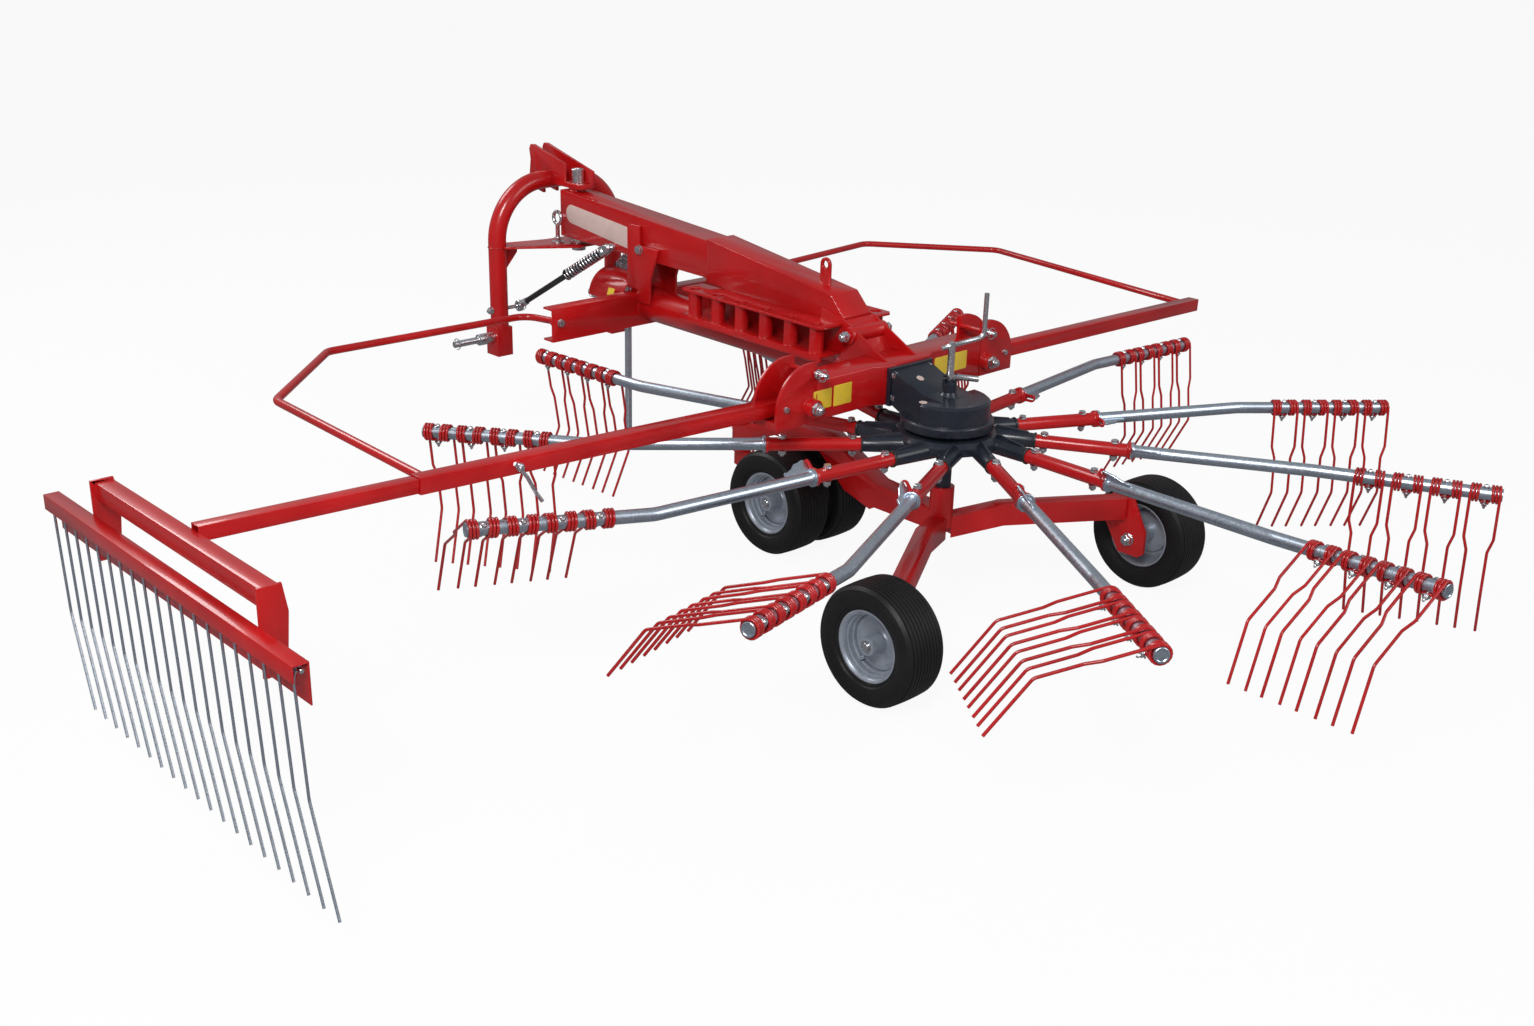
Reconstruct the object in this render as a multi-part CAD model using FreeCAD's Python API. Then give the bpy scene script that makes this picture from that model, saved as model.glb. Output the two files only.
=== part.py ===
import FreeCAD, Part
import math
import os

# Single rotor hay rake.  Millimetres.  X points to the tractor, Y to the left (curtain) side, Z up.
# Places are first given from the rotor axis on the ground, then moved to the part's origin.

# ---------------------------------------------------------------- overall layout
ORIGIN_AHEAD_OF_ROTOR = 276.0     # part origin, measured forwards from the rotor axis
ORIGIN_LEFT_OF_ROTOR = 287.0      # part origin, measured to the left of the rotor axis
TOUCH = 0.3                       # gap left between pieces that move on each other
SHEET = 8.0                       # common plate thickness
THICK_SHEET = 12.0                # heavy plate thickness

# rotor
ROTOR_HEIGHT = 605.0              # tine arm plane above the ground
ARM_COUNT = 11
FIRST_ARM_ANGLE = 16.6            # degrees from +X to the first arm
ARM_SIDE_OFFSET = 71.0            # arm axis passes the rotor axis at this distance
HUB_RADIUS = 186.0
HUB_BELL_HEIGHT = 64.0
HUB_BORE_RADIUS = 36.0
SOCKET_LENGTH = 293.0             # rotor axis to the outer end of a hub socket
SOCKET_RADIUS = 31.0
SLEEVE_END = 620.0                # rotor axis to the outer end of a red sleeve
SLEEVE_DIAMETER = 46.0
SPIGOT_DIAMETER = 36.0
COLLAR_DIAMETER = 60.0
COLLAR_LENGTH = 9.0
LEVER_HEIGHT = 62.0
LEVER_LENGTH = 92.0
LEVER_WIDTH = 28.0
LEVER_SLOT = 10.0
EAR_ROOT = 10.0                   # foot of the arm's ear above the arm axis, inside the collar
EAR_CREST = 20.0                  # flat top of the ear, along the arm
EAR_LEAN = 6.0                    # top of the ear towards the leading side
EAR_THICKNESS = 6.0
ARM_DIAMETER = 42.4
ARM_WALL = 4.0
ARM_BEND_AT = 1211.0              # rotor axis to the bend of an arm
ARM_OUTER_LENGTH = 581.0          # bend to the arm's end
ARM_BEND = 12.9                   # degrees, towards the trailing side
ARM_BEND_RADIUS = 160.0
ARM_DROOP = 0.5                   # degrees below level
CAM_RISE_SHARE = 0.5              # share of the turned bend's rise that the level arms keep
CAM_TWIST = {2: 38.0, 3: 60.0, 4: 62.0, 5: 50.0, 6: 22.0}   # arm number: degrees turned by the cam
CAM_TINE_TWIST = {2: 48.0, 3: 62.0, 4: 65.0, 5: 48.0}       # arm number: degrees the tines swing back

# tines
TINE_PAIRS = 4
TINE_WIRE = 9.5
TINE_TURNS = 3
FIRST_COIL_AT = 150.0             # bend to the middle of the first coil
COIL_PITCH = 58.5
TINE_UPPER = 138.0
TINE_JOG_DROP = 42.0
TINE_JOG = 13.0
TINE_MIDDLE = 130.0
TINE_LOWER = 190.0
TINE_LEAN = 9.0                   # degrees, upper leg towards the trailing side
TINE_HOOK = 27.0                  # degrees, lower leg towards the leading side

# gearbox and column
GEARBOX_RADIUS = 159.0
GEARBOX_BOTTOM = ROTOR_HEIGHT + HUB_BELL_HEIGHT / 2 + TOUCH
GEARBOX_RIM_HEIGHT = 48.0
GEARBOX_DOME_HEIGHT = 66.0
GEARBOX_FLANGE_WIDTH = 214.0
COLUMN_DIAMETER = 56.0
COLLAR_TOP = 431.0
COLLAR_BOTTOM = 300.0
COLUMN_COLLAR_DIAMETER = 84.0
CRANK_SHAFT_DIAMETER = 24.0
CRANK_TOP = 929.0
CRANK_HANDLE_HEIGHT = 150.0
CRANK_ARM = 118.0
CRANK_TOP_RISE = 22.0
CRANK_ANGLE = -112.44             # degrees from +X to the crank arm

# main frame
MAIN_TUBE_DIAMETER = 133.0
MAIN_TUBE_WALL = 6.0
MAIN_TUBE_HEIGHT = 760.0
CROSSBEAM_REAR = 213.0            # rear face, from the rotor axis
CROSSBEAM_DEPTH = 120.0
CROSSBEAM_HEIGHT = 140.0
CROSSBEAM_DROP = 65.0             # underside of the crossbeam below the main tube's axis
CROSSBEAM_BOTTOM = MAIN_TUBE_HEIGHT - CROSSBEAM_DROP
CROSSBEAM_HALF_WIDTH = 420.0
CROSSBEAM_WALL = 6.0
SADDLE_DEPTH = 24.0
CHANNEL_REAR = 1579.0
CHANNEL_HALF_WIDTH = 487.0
CHANNEL_DROP = 83.0               # underside of the channel below the main tube's axis
CHANNEL_BOTTOM = MAIN_TUBE_HEIGHT - CHANNEL_DROP
CHANNEL_HEIGHT = 131.0
CHANNEL_FLANGE = 60.0
BEAM_WIDTH = 120.0
BEAM_WALL = 6.0
BEAM_FRONT = 2094.0
BEAM_FRONT_TOP = 1147.0
BEAM_FRONT_BOTTOM = 955.0
BEAM_STEP = 1170.0                # where the tall rear part of the beam starts
BEAM_STEP_TOP = 1090.0
BEAM_REAR = 441.0
BEAM_REAR_RISE = 102.0            # underside of the beam's rear end above the main tube's axis
BEAM_REAR_DEPTH = 84.0
BEAM_REAR_BOTTOM = MAIN_TUBE_HEIGHT + BEAM_REAR_RISE
BEAM_REAR_TOP = BEAM_REAR_BOTTOM + BEAM_REAR_DEPTH
REAR_PART_PROUD = 9.0             # rear part of the beam stands proud of the front part
UPRIGHT_REAR = 1500.0
UPRIGHT_FRONT = CHANNEL_REAR + CHANNEL_FLANGE
LUG_AT = 603.0
PIVOT_BOLT_AT = 396.0
PIVOT_BOLT_RISE = 30.0            # bolt above the underside of the beam's rear end
PIVOT_BOLT_HEIGHT = BEAM_REAR_BOTTOM + PIVOT_BOLT_RISE

# arm racks
RACK_SLEEVES = 6
RACK_FIRST = 490.0
RACK_PITCH = 129.0
RACK_SIDE = 150.0
RACK_RISE = 66.0                  # shelf of the rack above the main tube's axis
RACK_DEPTH = 100.0
RACK_BOTTOM = MAIN_TUBE_HEIGHT + RACK_RISE
RACK_TOP = RACK_BOTTOM + RACK_DEPTH
RACK_SLEEVE_DIAMETER = 52.0
RACK_SLEEVE_BORE = 43.0

# folding side arms
FOLD_SIDE = 450.0                 # fold axis from the centre plane
FOLD_RISE = 55.0                  # fold axis above the crossbeam's underside
FOLD_HEIGHT = CROSSBEAM_BOTTOM + FOLD_RISE
FOLD_PIN_DIAMETER = 24.0
FOLD_PLATE_OUTER = 600.0
FOLD_BOSS_DIAMETER = 62.0
FOLD_BOSS_PROUD = 30.0
SIDE_ARM_AT = 280.0               # side arm centre line, from the rotor axis
STOP_DEPTH = 25.0                 # block that the side arm rests on
STOP_TOP = CROSSBEAM_BOTTOM + STOP_DEPTH
LOCK_PIN_SIDE = 430.0
LOCK_PIN_RISE = 112.0             # lock pin above the fold axis
LOCK_PIN_HEIGHT = FOLD_HEIGHT + LOCK_PIN_RISE
LOCK_PIN_DIAMETER = 18.0
SIDE_TUBE = 50.0
SIDE_TUBE_WALL = 4.0
SIDE_ARM_END = 1910.0
LEFT_RISE = 2.0                   # degrees the left arm stands above level
RIGHT_RISE = -1.0
HOOP_DIAMETER = 27.0
HOOP_BOLT_AT = 1606.0
LEFT_HOOP = [(1606.0, 450.0), (1746.0, 495.0), (1661.0, 1400.0), (1213.0, 1834.0), (330.0, 1862.0)]
RIGHT_HOOP = [(1606.0, 450.0), (1746.0, 495.0), (1950.0, 1640.0), (1490.0, 2080.0), (381.0, 1880.0)]
HOOP_CORNER = 70.0

# curtain
CURTAIN_TUBE = 41.4
CURTAIN_TUBE_END = 2545.0
CURTAIN_OVERLAP = 700.0           # inner tube inside the outer tube
CURTAIN_CROSSBAR = 50.0
CURTAIN_CROSSBAR_LENGTH = 915.0
CURTAIN_AHEAD = 20.0              # curtain centre ahead of the side arm
CURTAIN_PLATE_RISE = 66.0         # top of the end plates above the fold axis
CURTAIN_PLATE_DEPTH = 210.0
CURTAIN_PLATE_TOP = FOLD_HEIGHT + CURTAIN_PLATE_RISE
CURTAIN_PLATE_BOTTOM = CURTAIN_PLATE_TOP - CURTAIN_PLATE_DEPTH
CURTAIN_BAR_DROP = 20.0            # crossbar centre below the inner tube's centre
CURTAIN_RAIL_TOP_DROP = 8.0       # top of the wire rail below the fold axis
CURTAIN_RAIL_TOP = FOLD_HEIGHT - CURTAIN_RAIL_TOP_DROP
CURTAIN_RAIL_LENGTH = 1390.0
CURTAIN_RAIL = 44.0
CURTAIN_RAIL_DROP = 66.0
CURTAIN_WIRES = 20
CURTAIN_WIRE = 8.0
CURTAIN_ROD = 12.0                # rod in the rail that the wires hook over
CURTAIN_KNEE = 330.0
CURTAIN_LEAN = 28.0               # the knee lies this far behind the hook
CURTAIN_LOWER = 285.0
CURTAIN_KNEE_ANGLE = 27.0

# undercarriage
TYRE_RADIUS = 199.0
TYRE_WIDTH = 165.0
RIM_RADIUS = 112.0
RIM_HUB_RADIUS = 32.0
AXLE_DIAMETER = 25.0
AXLE_SHORT = 6.0                  # axle end beyond the middle of its wheel
REAR_AXLE_AT = -388.0
REAR_WHEEL_SIDE = 711.0
FRONT_AXLE_AT = 700.0
FRONT_WHEEL_SIDE = 107.0
REAR_ARM_HEIGHT = 78.0
REAR_ARM_WIDTH = 60.0
REAR_ARM_INNER_TOP = 318.0
REAR_ARM_OUTER_TOP = 350.0
REAR_ARM_KNEE = [-104.0, 205.0]
REAR_ARM_END = -346.0
REAR_PLATE_GAP = 36.0             # tyre side to the middle of the axle plate
REAR_PLATE_FRONT = [-300.0, -262.0]    # front edge of the axle plate at the arm's top and underside
REAR_PLATE_BACK = -392.0
REAR_PLATE_TAIL = -452.0
REAR_PLATE_SHOULDER = 238.0
REAR_PLATE_CORNER = 22.0
REAR_PLATE_DROP = [42.0, 58.0]    # plate's lower corner and edge below the axle
FRONT_BEAM_WIDTH = 80.0
FRONT_BEAM_UNDER = [(0.0, 275.0), (285.0, 275.0), (300.0, 262.0), (430.0, 300.0)]
FRONT_BEAM_UPPER = [(395.0, 420.0), (285.0, 366.0), (0.0, 346.0)]
FRONT_ARCH_REAR = 560.0
FRONT_ARCH_FRONT = 800.0
FRONT_ARCH_GAP = 14.0             # tyre to the arch over it
FRONT_ARCH_DEPTH = 70.0
FRONT_ARCH_REAR_SLOPE = 40.0      # upper corner of the arch behind the lower one
FRONT_ARCH_FRONT_SLOPE = 20.0     # and ahead of it
FRONT_NOSE_INSET = 18.0           # castor tube standing out below the beam
FRONT_NOSE_TOP_INSET = 16.0       # and above it
CASTOR_AT = 1022.0
CASTOR_TUBE_DIAMETER = 78.0
CASTOR_TUBE_TOP = 396.0
CASTOR_TUBE_BOTTOM = 300.0
CASTOR_PIN_DIAMETER = 40.0
CASTOR_PLATE = 26.0
CASTOR_PLATE_NOSE = 30.0          # plate ahead of the pivot
CASTOR_PLATE_NECK = 78.0          # plate behind the pivot
CASTOR_PLATE_BEND = 225.0
CASTOR_PLATE_EDGES = [165.0, 232.0]    # lower and upper edge at the axle
CASTOR_PLATE_ENDS = [40.0, 36.0]  # plate ahead of the axle and behind it

# headstock
SWING_AT = 2051.0                 # vertical swing pivot
SWING_PIN_DIAMETER = 36.0
ARCH_AT = 2206.0
ARCH_DIAMETER = 74.0
ARCH_WALL = 5.0
ARCH_LEG_SIDE = 302.0
ARCH_BOTTOM = 470.0
ARCH_TOP = 1172.0
ARCH_RADIUS = 235.0
TOP_PLATE_GAP = 56.0
TOP_PLATE_TIP = 2330.0
LOWER_PLATE_HEIGHT = 926.0
LOWER_PLATE_NOSE = [60.0, 50.0]   # plate behind the swing pin, and half its width there
LOWER_PLATE_REAR = 60.0           # plate behind the arch legs
LOWER_PLATE_FRONT = 24.0          # plate ahead of the arch's centre
LOWER_PLATE_NOTCH = [46.0, 20.0, 70.0]  # inside edge from the leg, depth behind the arch, half width
GUSSET_WIDTH = 100.0
GUSSET_LIP = [4.0, 40.0]          # gusset's inner corner: taper and depth
GUSSET_DEPTH = 150.0
HITCH_PIN_HEIGHT = 540.0
HITCH_PIN_DIAMETER = 28.0         # lower hitch pins, category 2
HITCH_SHOULDER = 412.0            # half of the width between the pin shoulders
HITCH_PIN_END = 530.0
MAST_HEIGHT = 610.0               # lower pins to the top link pin, category 2
TOP_LINK_PIN_DIAMETER = 25.0
TOP_LINK_AT = 2290.0

# centring struts
STRUT_BRACKET_AT = 1739.0
STRUT_BRACKET_SIDE = 86.0
STRUT_BRACKET_HEIGHT = 968.0
STRUT_EYE_SIDE = 200.0
STRUT_EYE_HEIGHT = 655.0
STRUT_GUIDE_LENGTH = 262.0
STRUT_SPRING_RADIUS = 21.0
STRUT_SPRING_TURNS = 16
STRUT_BALL_RADIUS = 17.0
STRUT_ROD_DIAMETER = 18.0
STRUT_BOLT_DIAMETER = 20.0

# drive shaft end and guard
PTO_DIAMETER = 34.9               # 1 3/8 inch splined shaft
PTO_LENGTH = 88.0
PTO_GUARD_RADIUS = 104.0
PTO_GUARD_END = 1850.0

# parking stand
STAND_AT = 2003.0
STAND_SIDE = -224.0
STAND_DIAMETER = 30.0
STAND_TOP = 1015.0
STAND_SLEEVE_BOTTOM = 930.0
STAND_SLEEVE_TOP = 1005.0
STAND_FOOT_RADIUS = 45.0


# ---------------------------------------------------------------- helpers
def vec(x, y, z):
    return FreeCAD.Vector(x, y, z)


X_AXIS = vec(1, 0, 0)
Y_AXIS = vec(0, 1, 0)
Z_AXIS = vec(0, 0, 1)
ORIGIN = vec(0, 0, 0)


def block(x0, x1, y0, y1, z0, z1):
    """Box between two corners."""
    return Part.makeBox(x1 - x0, y1 - y0, z1 - z0, vec(x0, y0, z0))


def bar(start, end, radius):
    """Round bar between two points."""
    run = end - start
    return Part.makeCylinder(radius, run.Length, start, run)


def pipe(start, end, outer, inner):
    """Round tube between two points."""
    return bar(start, end, outer).cut(bar(start, end, inner))


def fuse(shapes):
    """One clean solid from touching shapes."""
    whole = shapes[0].multiFuse(shapes[1:]) if len(shapes) > 1 else shapes[0]
    return whole.removeSplitter()


def together(shapes):
    """Separate solids kept in one node."""
    return Part.makeCompound(shapes)


def side_plate(points, y0, y1):
    """Plate from an outline in the XZ plane, between two Y values."""
    wire = Part.makePolygon([vec(x, y0, z) for x, z in points + points[:1]])
    return Part.Face(wire).extrude(vec(0, y1 - y0, 0))


def cross_plate(points, x0, x1):
    """Plate from an outline in the YZ plane, between two X values."""
    wire = Part.makePolygon([vec(x0, y, z) for y, z in points + points[:1]])
    return Part.Face(wire).extrude(vec(x1 - x0, 0, 0))


def flat_plate(points, z0, z1):
    """Plate from an outline in the XY plane, between two Z values."""
    wire = Part.makePolygon([vec(x, y, z0) for x, y in points + points[:1]])
    return Part.Face(wire).extrude(vec(0, 0, z1 - z0))


def mirrored(shape):
    """Mirror image in the machine's centre plane."""
    return shape.mirror(ORIGIN, Y_AXIS)


def rounded_path(points, corner):
    """Straight runs joined by tangent arcs, all of one radius."""
    edges = []
    last = points[0]
    for i in range(1, len(points) - 1):
        into = (points[i] - points[i - 1]).normalize()
        away = (points[i + 1] - points[i]).normalize()
        turn = into.getAngle(away)
        back = corner * math.tan(turn / 2)
        arc_start = points[i] - into * back
        arc_end = points[i] + away * back
        towards = (away - into).normalize()
        middle = points[i] + towards * (corner / math.cos(turn / 2) - corner)
        edges.append(Part.LineSegment(last, arc_start).toShape())
        edges.append(Part.Arc(arc_start, middle, arc_end).toShape())
        last = arc_end
    edges.append(Part.LineSegment(last, points[-1]).toShape())
    return Part.Wire(edges)


def bent_bar(points, radius, corner):
    """Round bar that follows a path with rounded corners."""
    path = rounded_path(points, corner)
    start = points[0]
    ring = Part.Wire([Part.makeCircle(radius, start, points[1] - start)])
    return path.makePipeShell([ring], True, False)


def square_tube(start, end, size, wall):
    """Square hollow tube between two points of one YZ plane."""
    run = end - start
    across = X_AXIS
    up = run.cross(across).normalize()

    def section(half):
        corners = [start + across * (a * half) + up * (b * half)
                   for a, b in ((1, 1), (-1, 1), (-1, -1), (1, -1), (1, 1))]
        return Part.Face(Part.makePolygon(corners)).extrude(run)

    return section(size / 2).cut(section(size / 2 - wall))


def turned(points, centre, axis):
    """Solid of revolution from (radius, along) points about an axis through centre."""
    wire = Part.makePolygon([vec(r, 0, a) for r, a in points + points[:1]])
    solid = Part.Face(wire).revolve(ORIGIN, Z_AXIS, 360)
    rotation = FreeCAD.Rotation(Z_AXIS, axis)
    solid.Placement = FreeCAD.Placement(centre, rotation)
    return solid


# ---------------------------------------------------------------- main frame
def main_tube():
    start = vec(CROSSBEAM_REAR + CROSSBEAM_DEPTH, 0, MAIN_TUBE_HEIGHT)
    end = vec(CHANNEL_REAR, 0, MAIN_TUBE_HEIGHT)
    return pipe(start, end, MAIN_TUBE_DIAMETER / 2, MAIN_TUBE_DIAMETER / 2 - MAIN_TUBE_WALL)


def cross_channel():
    top = CHANNEL_BOTTOM + CHANNEL_HEIGHT
    front = CHANNEL_REAR + CHANNEL_FLANGE
    web = block(CHANNEL_REAR, CHANNEL_REAR + SHEET, -CHANNEL_HALF_WIDTH, CHANNEL_HALF_WIDTH,
                CHANNEL_BOTTOM, top)
    flanges = [block(CHANNEL_REAR, front, -CHANNEL_HALF_WIDTH, CHANNEL_HALF_WIDTH, z, z + SHEET)
               for z in (CHANNEL_BOTTOM, top - SHEET)]
    channel = fuse([web] + flanges)
    shaft_hole = bar(vec(CHANNEL_REAR - SHEET, 0, MAIN_TUBE_HEIGHT),
                     vec(CHANNEL_REAR + 2 * SHEET, 0, MAIN_TUBE_HEIGHT), PTO_DIAMETER)
    channel = channel.cut(shaft_hole)
    bolt_radius = STRUT_BOLT_DIAMETER / 2
    for side in (-1, 1):
        start = vec(CHANNEL_REAR - SHEET, side * FOLD_SIDE, FOLD_HEIGHT)
        end = vec(HOOP_BOLT_AT - HOOP_DIAMETER / 2 - TOUCH, side * FOLD_SIDE, FOLD_HEIGHT)
        channel = channel.fuse(bar(start, end, bolt_radius))
    return channel.removeSplitter()


def beam_outline_front():
    return [(BEAM_FRONT, BEAM_FRONT_BOTTOM), (BEAM_FRONT, BEAM_FRONT_TOP),
            (BEAM_STEP, BEAM_STEP_TOP), (BEAM_STEP, BEAM_FRONT_BOTTOM - REAR_PART_PROUD)]


def beam_outline_rear():
    chamfer = 1.35 * SIDE_TUBE
    return [(BEAM_STEP, BEAM_FRONT_BOTTOM - 2 * REAR_PART_PROUD),
            (BEAM_STEP, BEAM_STEP_TOP + REAR_PART_PROUD),
            (BEAM_REAR + chamfer, BEAM_REAR_TOP + chamfer),
            (BEAM_REAR, BEAM_REAR_TOP), (BEAM_REAR, BEAM_REAR_BOTTOM)]


def top_beam():
    half = BEAM_WIDTH / 2
    front = side_plate(beam_outline_front(), -half, half)
    wide = half + REAR_PART_PROUD
    rear = side_plate(beam_outline_rear(), -wide, wide)
    beam = front.fuse(rear)
    pivot = bar(vec(PIVOT_BOLT_AT, -BEAM_WIDTH, PIVOT_BOLT_HEIGHT),
                vec(PIVOT_BOLT_AT, BEAM_WIDTH, PIVOT_BOLT_HEIGHT), 2.4 * THICK_SHEET)
    beam = beam.cut(pivot)
    hollow = [(BEAM_FRONT - 3 * SIDE_TUBE, BEAM_FRONT_BOTTOM + BEAM_WALL),
              (BEAM_FRONT - 3 * SIDE_TUBE, BEAM_STEP_TOP + 2 * BEAM_WALL),
              (BEAM_STEP, BEAM_STEP_TOP - BEAM_WALL),
              (BEAM_REAR + 2 * SIDE_TUBE, BEAM_REAR_TOP + 2 * BEAM_WALL),
              (BEAM_REAR + BEAM_WALL, BEAM_REAR_TOP - BEAM_WALL),
              (BEAM_REAR + BEAM_WALL, BEAM_REAR_BOTTOM + 2 * BEAM_WALL),
              (BEAM_STEP, BEAM_FRONT_BOTTOM + BEAM_WALL)]
    beam = beam.cut(side_plate(hollow, BEAM_WALL - half, half - BEAM_WALL))
    bush = bar(vec(SWING_AT, 0, BEAM_FRONT_BOTTOM - SHEET),
               vec(SWING_AT, 0, BEAM_FRONT_TOP + SHEET), SWING_PIN_DIAMETER)
    pin_way = bar(vec(SWING_AT, 0, BEAM_FRONT_BOTTOM - 2 * SHEET),
                  vec(SWING_AT, 0, BEAM_FRONT_TOP + 2 * SHEET), SWING_PIN_DIAMETER / 2 + 0.05)
    return fuse([beam, bush, lifting_lug()]).cut(pin_way)


def lifting_lug():
    """Ring plate on top of the beam for a crane hook."""
    slope_top = BEAM_REAR_TOP + 2.0 * SIDE_TUBE
    ring = bar(vec(LUG_AT, -THICK_SHEET / 2, slope_top + SIDE_TUBE),
               vec(LUG_AT, THICK_SHEET / 2, slope_top + SIDE_TUBE), SIDE_TUBE / 2)
    foot = block(LUG_AT - SIDE_TUBE / 2, LUG_AT + SIDE_TUBE / 2, -THICK_SHEET / 2, THICK_SHEET / 2,
                 slope_top - SIDE_TUBE, slope_top + SIDE_TUBE)
    eye = bar(vec(LUG_AT, -SIDE_TUBE, slope_top + SIDE_TUBE),
              vec(LUG_AT, SIDE_TUBE, slope_top + SIDE_TUBE), SIDE_TUBE / 4)
    return ring.fuse(foot).cut(eye)


def front_upright():
    """Pair of cheek plates that carry the beam on the main tube and the channel."""
    half = BEAM_WIDTH / 2
    top = BEAM_FRONT_BOTTOM + SIDE_TUBE
    high = BEAM_STEP_TOP - SHEET
    foot = MAIN_TUBE_HEIGHT + MAIN_TUBE_DIAMETER / 8
    outline = [(UPRIGHT_REAR, foot), (UPRIGHT_REAR, foot + 2 * SIDE_TUBE),
               (UPRIGHT_REAR - SIDE_TUBE, top), (UPRIGHT_FRONT - 1.5 * SIDE_TUBE, top),
               (UPRIGHT_FRONT - 1.5 * SIDE_TUBE, high), (UPRIGHT_FRONT, high), (UPRIGHT_FRONT, foot + SIDE_TUBE),
               (CHANNEL_REAR, foot + SIDE_TUBE), (CHANNEL_REAR, foot)]
    cheeks = [side_plate(outline, half, half + THICK_SHEET), side_plate(outline, -half - THICK_SHEET, -half)]
    web = block(CHANNEL_REAR - 2 * SHEET, UPRIGHT_FRONT - SHEET, -half, half,
                CHANNEL_BOTTOM + CHANNEL_HEIGHT, BEAM_FRONT_BOTTOM)
    beam = side_plate(beam_outline_front(), -half, half)
    tube = bar(vec(0, 0, MAIN_TUBE_HEIGHT), vec(CHANNEL_REAR, 0, MAIN_TUBE_HEIGHT),
               MAIN_TUBE_DIAMETER / 2)
    return fuse(cheeks + [web]).cut(tube).cut(beam)


def rear_bracket():
    """Plates that tie the beam's rear end to the crossbeam and the main tube."""
    inner = BEAM_WIDTH / 2 + REAR_PART_PROUD
    seat = CROSSBEAM_BOTTOM + CROSSBEAM_HEIGHT
    rear = CROSSBEAM_REAR
    front = rear + CROSSBEAM_DEPTH
    low = MAIN_TUBE_HEIGHT + MAIN_TUBE_DIAMETER / 8
    outline = [(rear + SHEET, seat), (BEAM_REAR - 2 * SHEET, BEAM_REAR_TOP - SHEET),
               (BEAM_REAR + 2 * SIDE_TUBE, BEAM_REAR_TOP + 2 * SHEET),
               (BEAM_REAR + 2.4 * SIDE_TUBE, low), (front, low), (front, seat)]
    cheeks = [side_plate(outline, inner, inner + SHEET), side_plate(outline, -inner - SHEET, -inner)]
    end = side_plate([(BEAM_REAR - 2 * SHEET, BEAM_REAR_TOP - SHEET), (BEAM_REAR - SHEET, BEAM_REAR_TOP - SHEET),
                      (front + SHEET, seat - 2 * SHEET), (front, seat - 2 * SHEET)], -inner, inner)
    boss_reach = inner + 2.5 * SHEET
    boss = bar(vec(PIVOT_BOLT_AT, -boss_reach, PIVOT_BOLT_HEIGHT),
               vec(PIVOT_BOLT_AT, boss_reach, PIVOT_BOLT_HEIGHT), 2.4 * THICK_SHEET)
    bolt_reach = boss_reach + 1.5 * SHEET
    bolt = bar(vec(PIVOT_BOLT_AT, -bolt_reach, PIVOT_BOLT_HEIGHT),
               vec(PIVOT_BOLT_AT, bolt_reach, PIVOT_BOLT_HEIGHT), 1.4 * THICK_SHEET)
    tube = bar(vec(0, 0, MAIN_TUBE_HEIGHT), vec(CHANNEL_REAR, 0, MAIN_TUBE_HEIGHT),
               MAIN_TUBE_DIAMETER / 2)
    box = block(rear, front, -CROSSBEAM_HALF_WIDTH, CROSSBEAM_HALF_WIDTH, CROSSBEAM_BOTTOM, seat)
    beam = side_plate(beam_outline_rear(), -inner, inner)
    return fuse(cheeks + [end, boss, bolt]).cut(tube).cut(box).cut(beam)


def crossbeam():
    front = CROSSBEAM_REAR + CROSSBEAM_DEPTH
    top = CROSSBEAM_BOTTOM + CROSSBEAM_HEIGHT
    box = block(CROSSBEAM_REAR, front, -CROSSBEAM_HALF_WIDTH, CROSSBEAM_HALF_WIDTH, CROSSBEAM_BOTTOM, top)
    wall = CROSSBEAM_WALL
    hollow = block(CROSSBEAM_REAR + wall, front - wall, wall - CROSSBEAM_HALF_WIDTH,
                   CROSSBEAM_HALF_WIDTH - wall, CROSSBEAM_BOTTOM + wall, top - wall)
    half = GEARBOX_FLANGE_WIDTH / 2
    saddle = flat_plate([(CROSSBEAM_REAR, -half - 2 * SADDLE_DEPTH), (CROSSBEAM_REAR, half + 2 * SADDLE_DEPTH),
                         (CROSSBEAM_REAR - SADDLE_DEPTH, half), (CROSSBEAM_REAR - SADDLE_DEPTH, -half)],
                        CROSSBEAM_BOTTOM, top)
    return fuse([box.cut(hollow), saddle])


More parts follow.
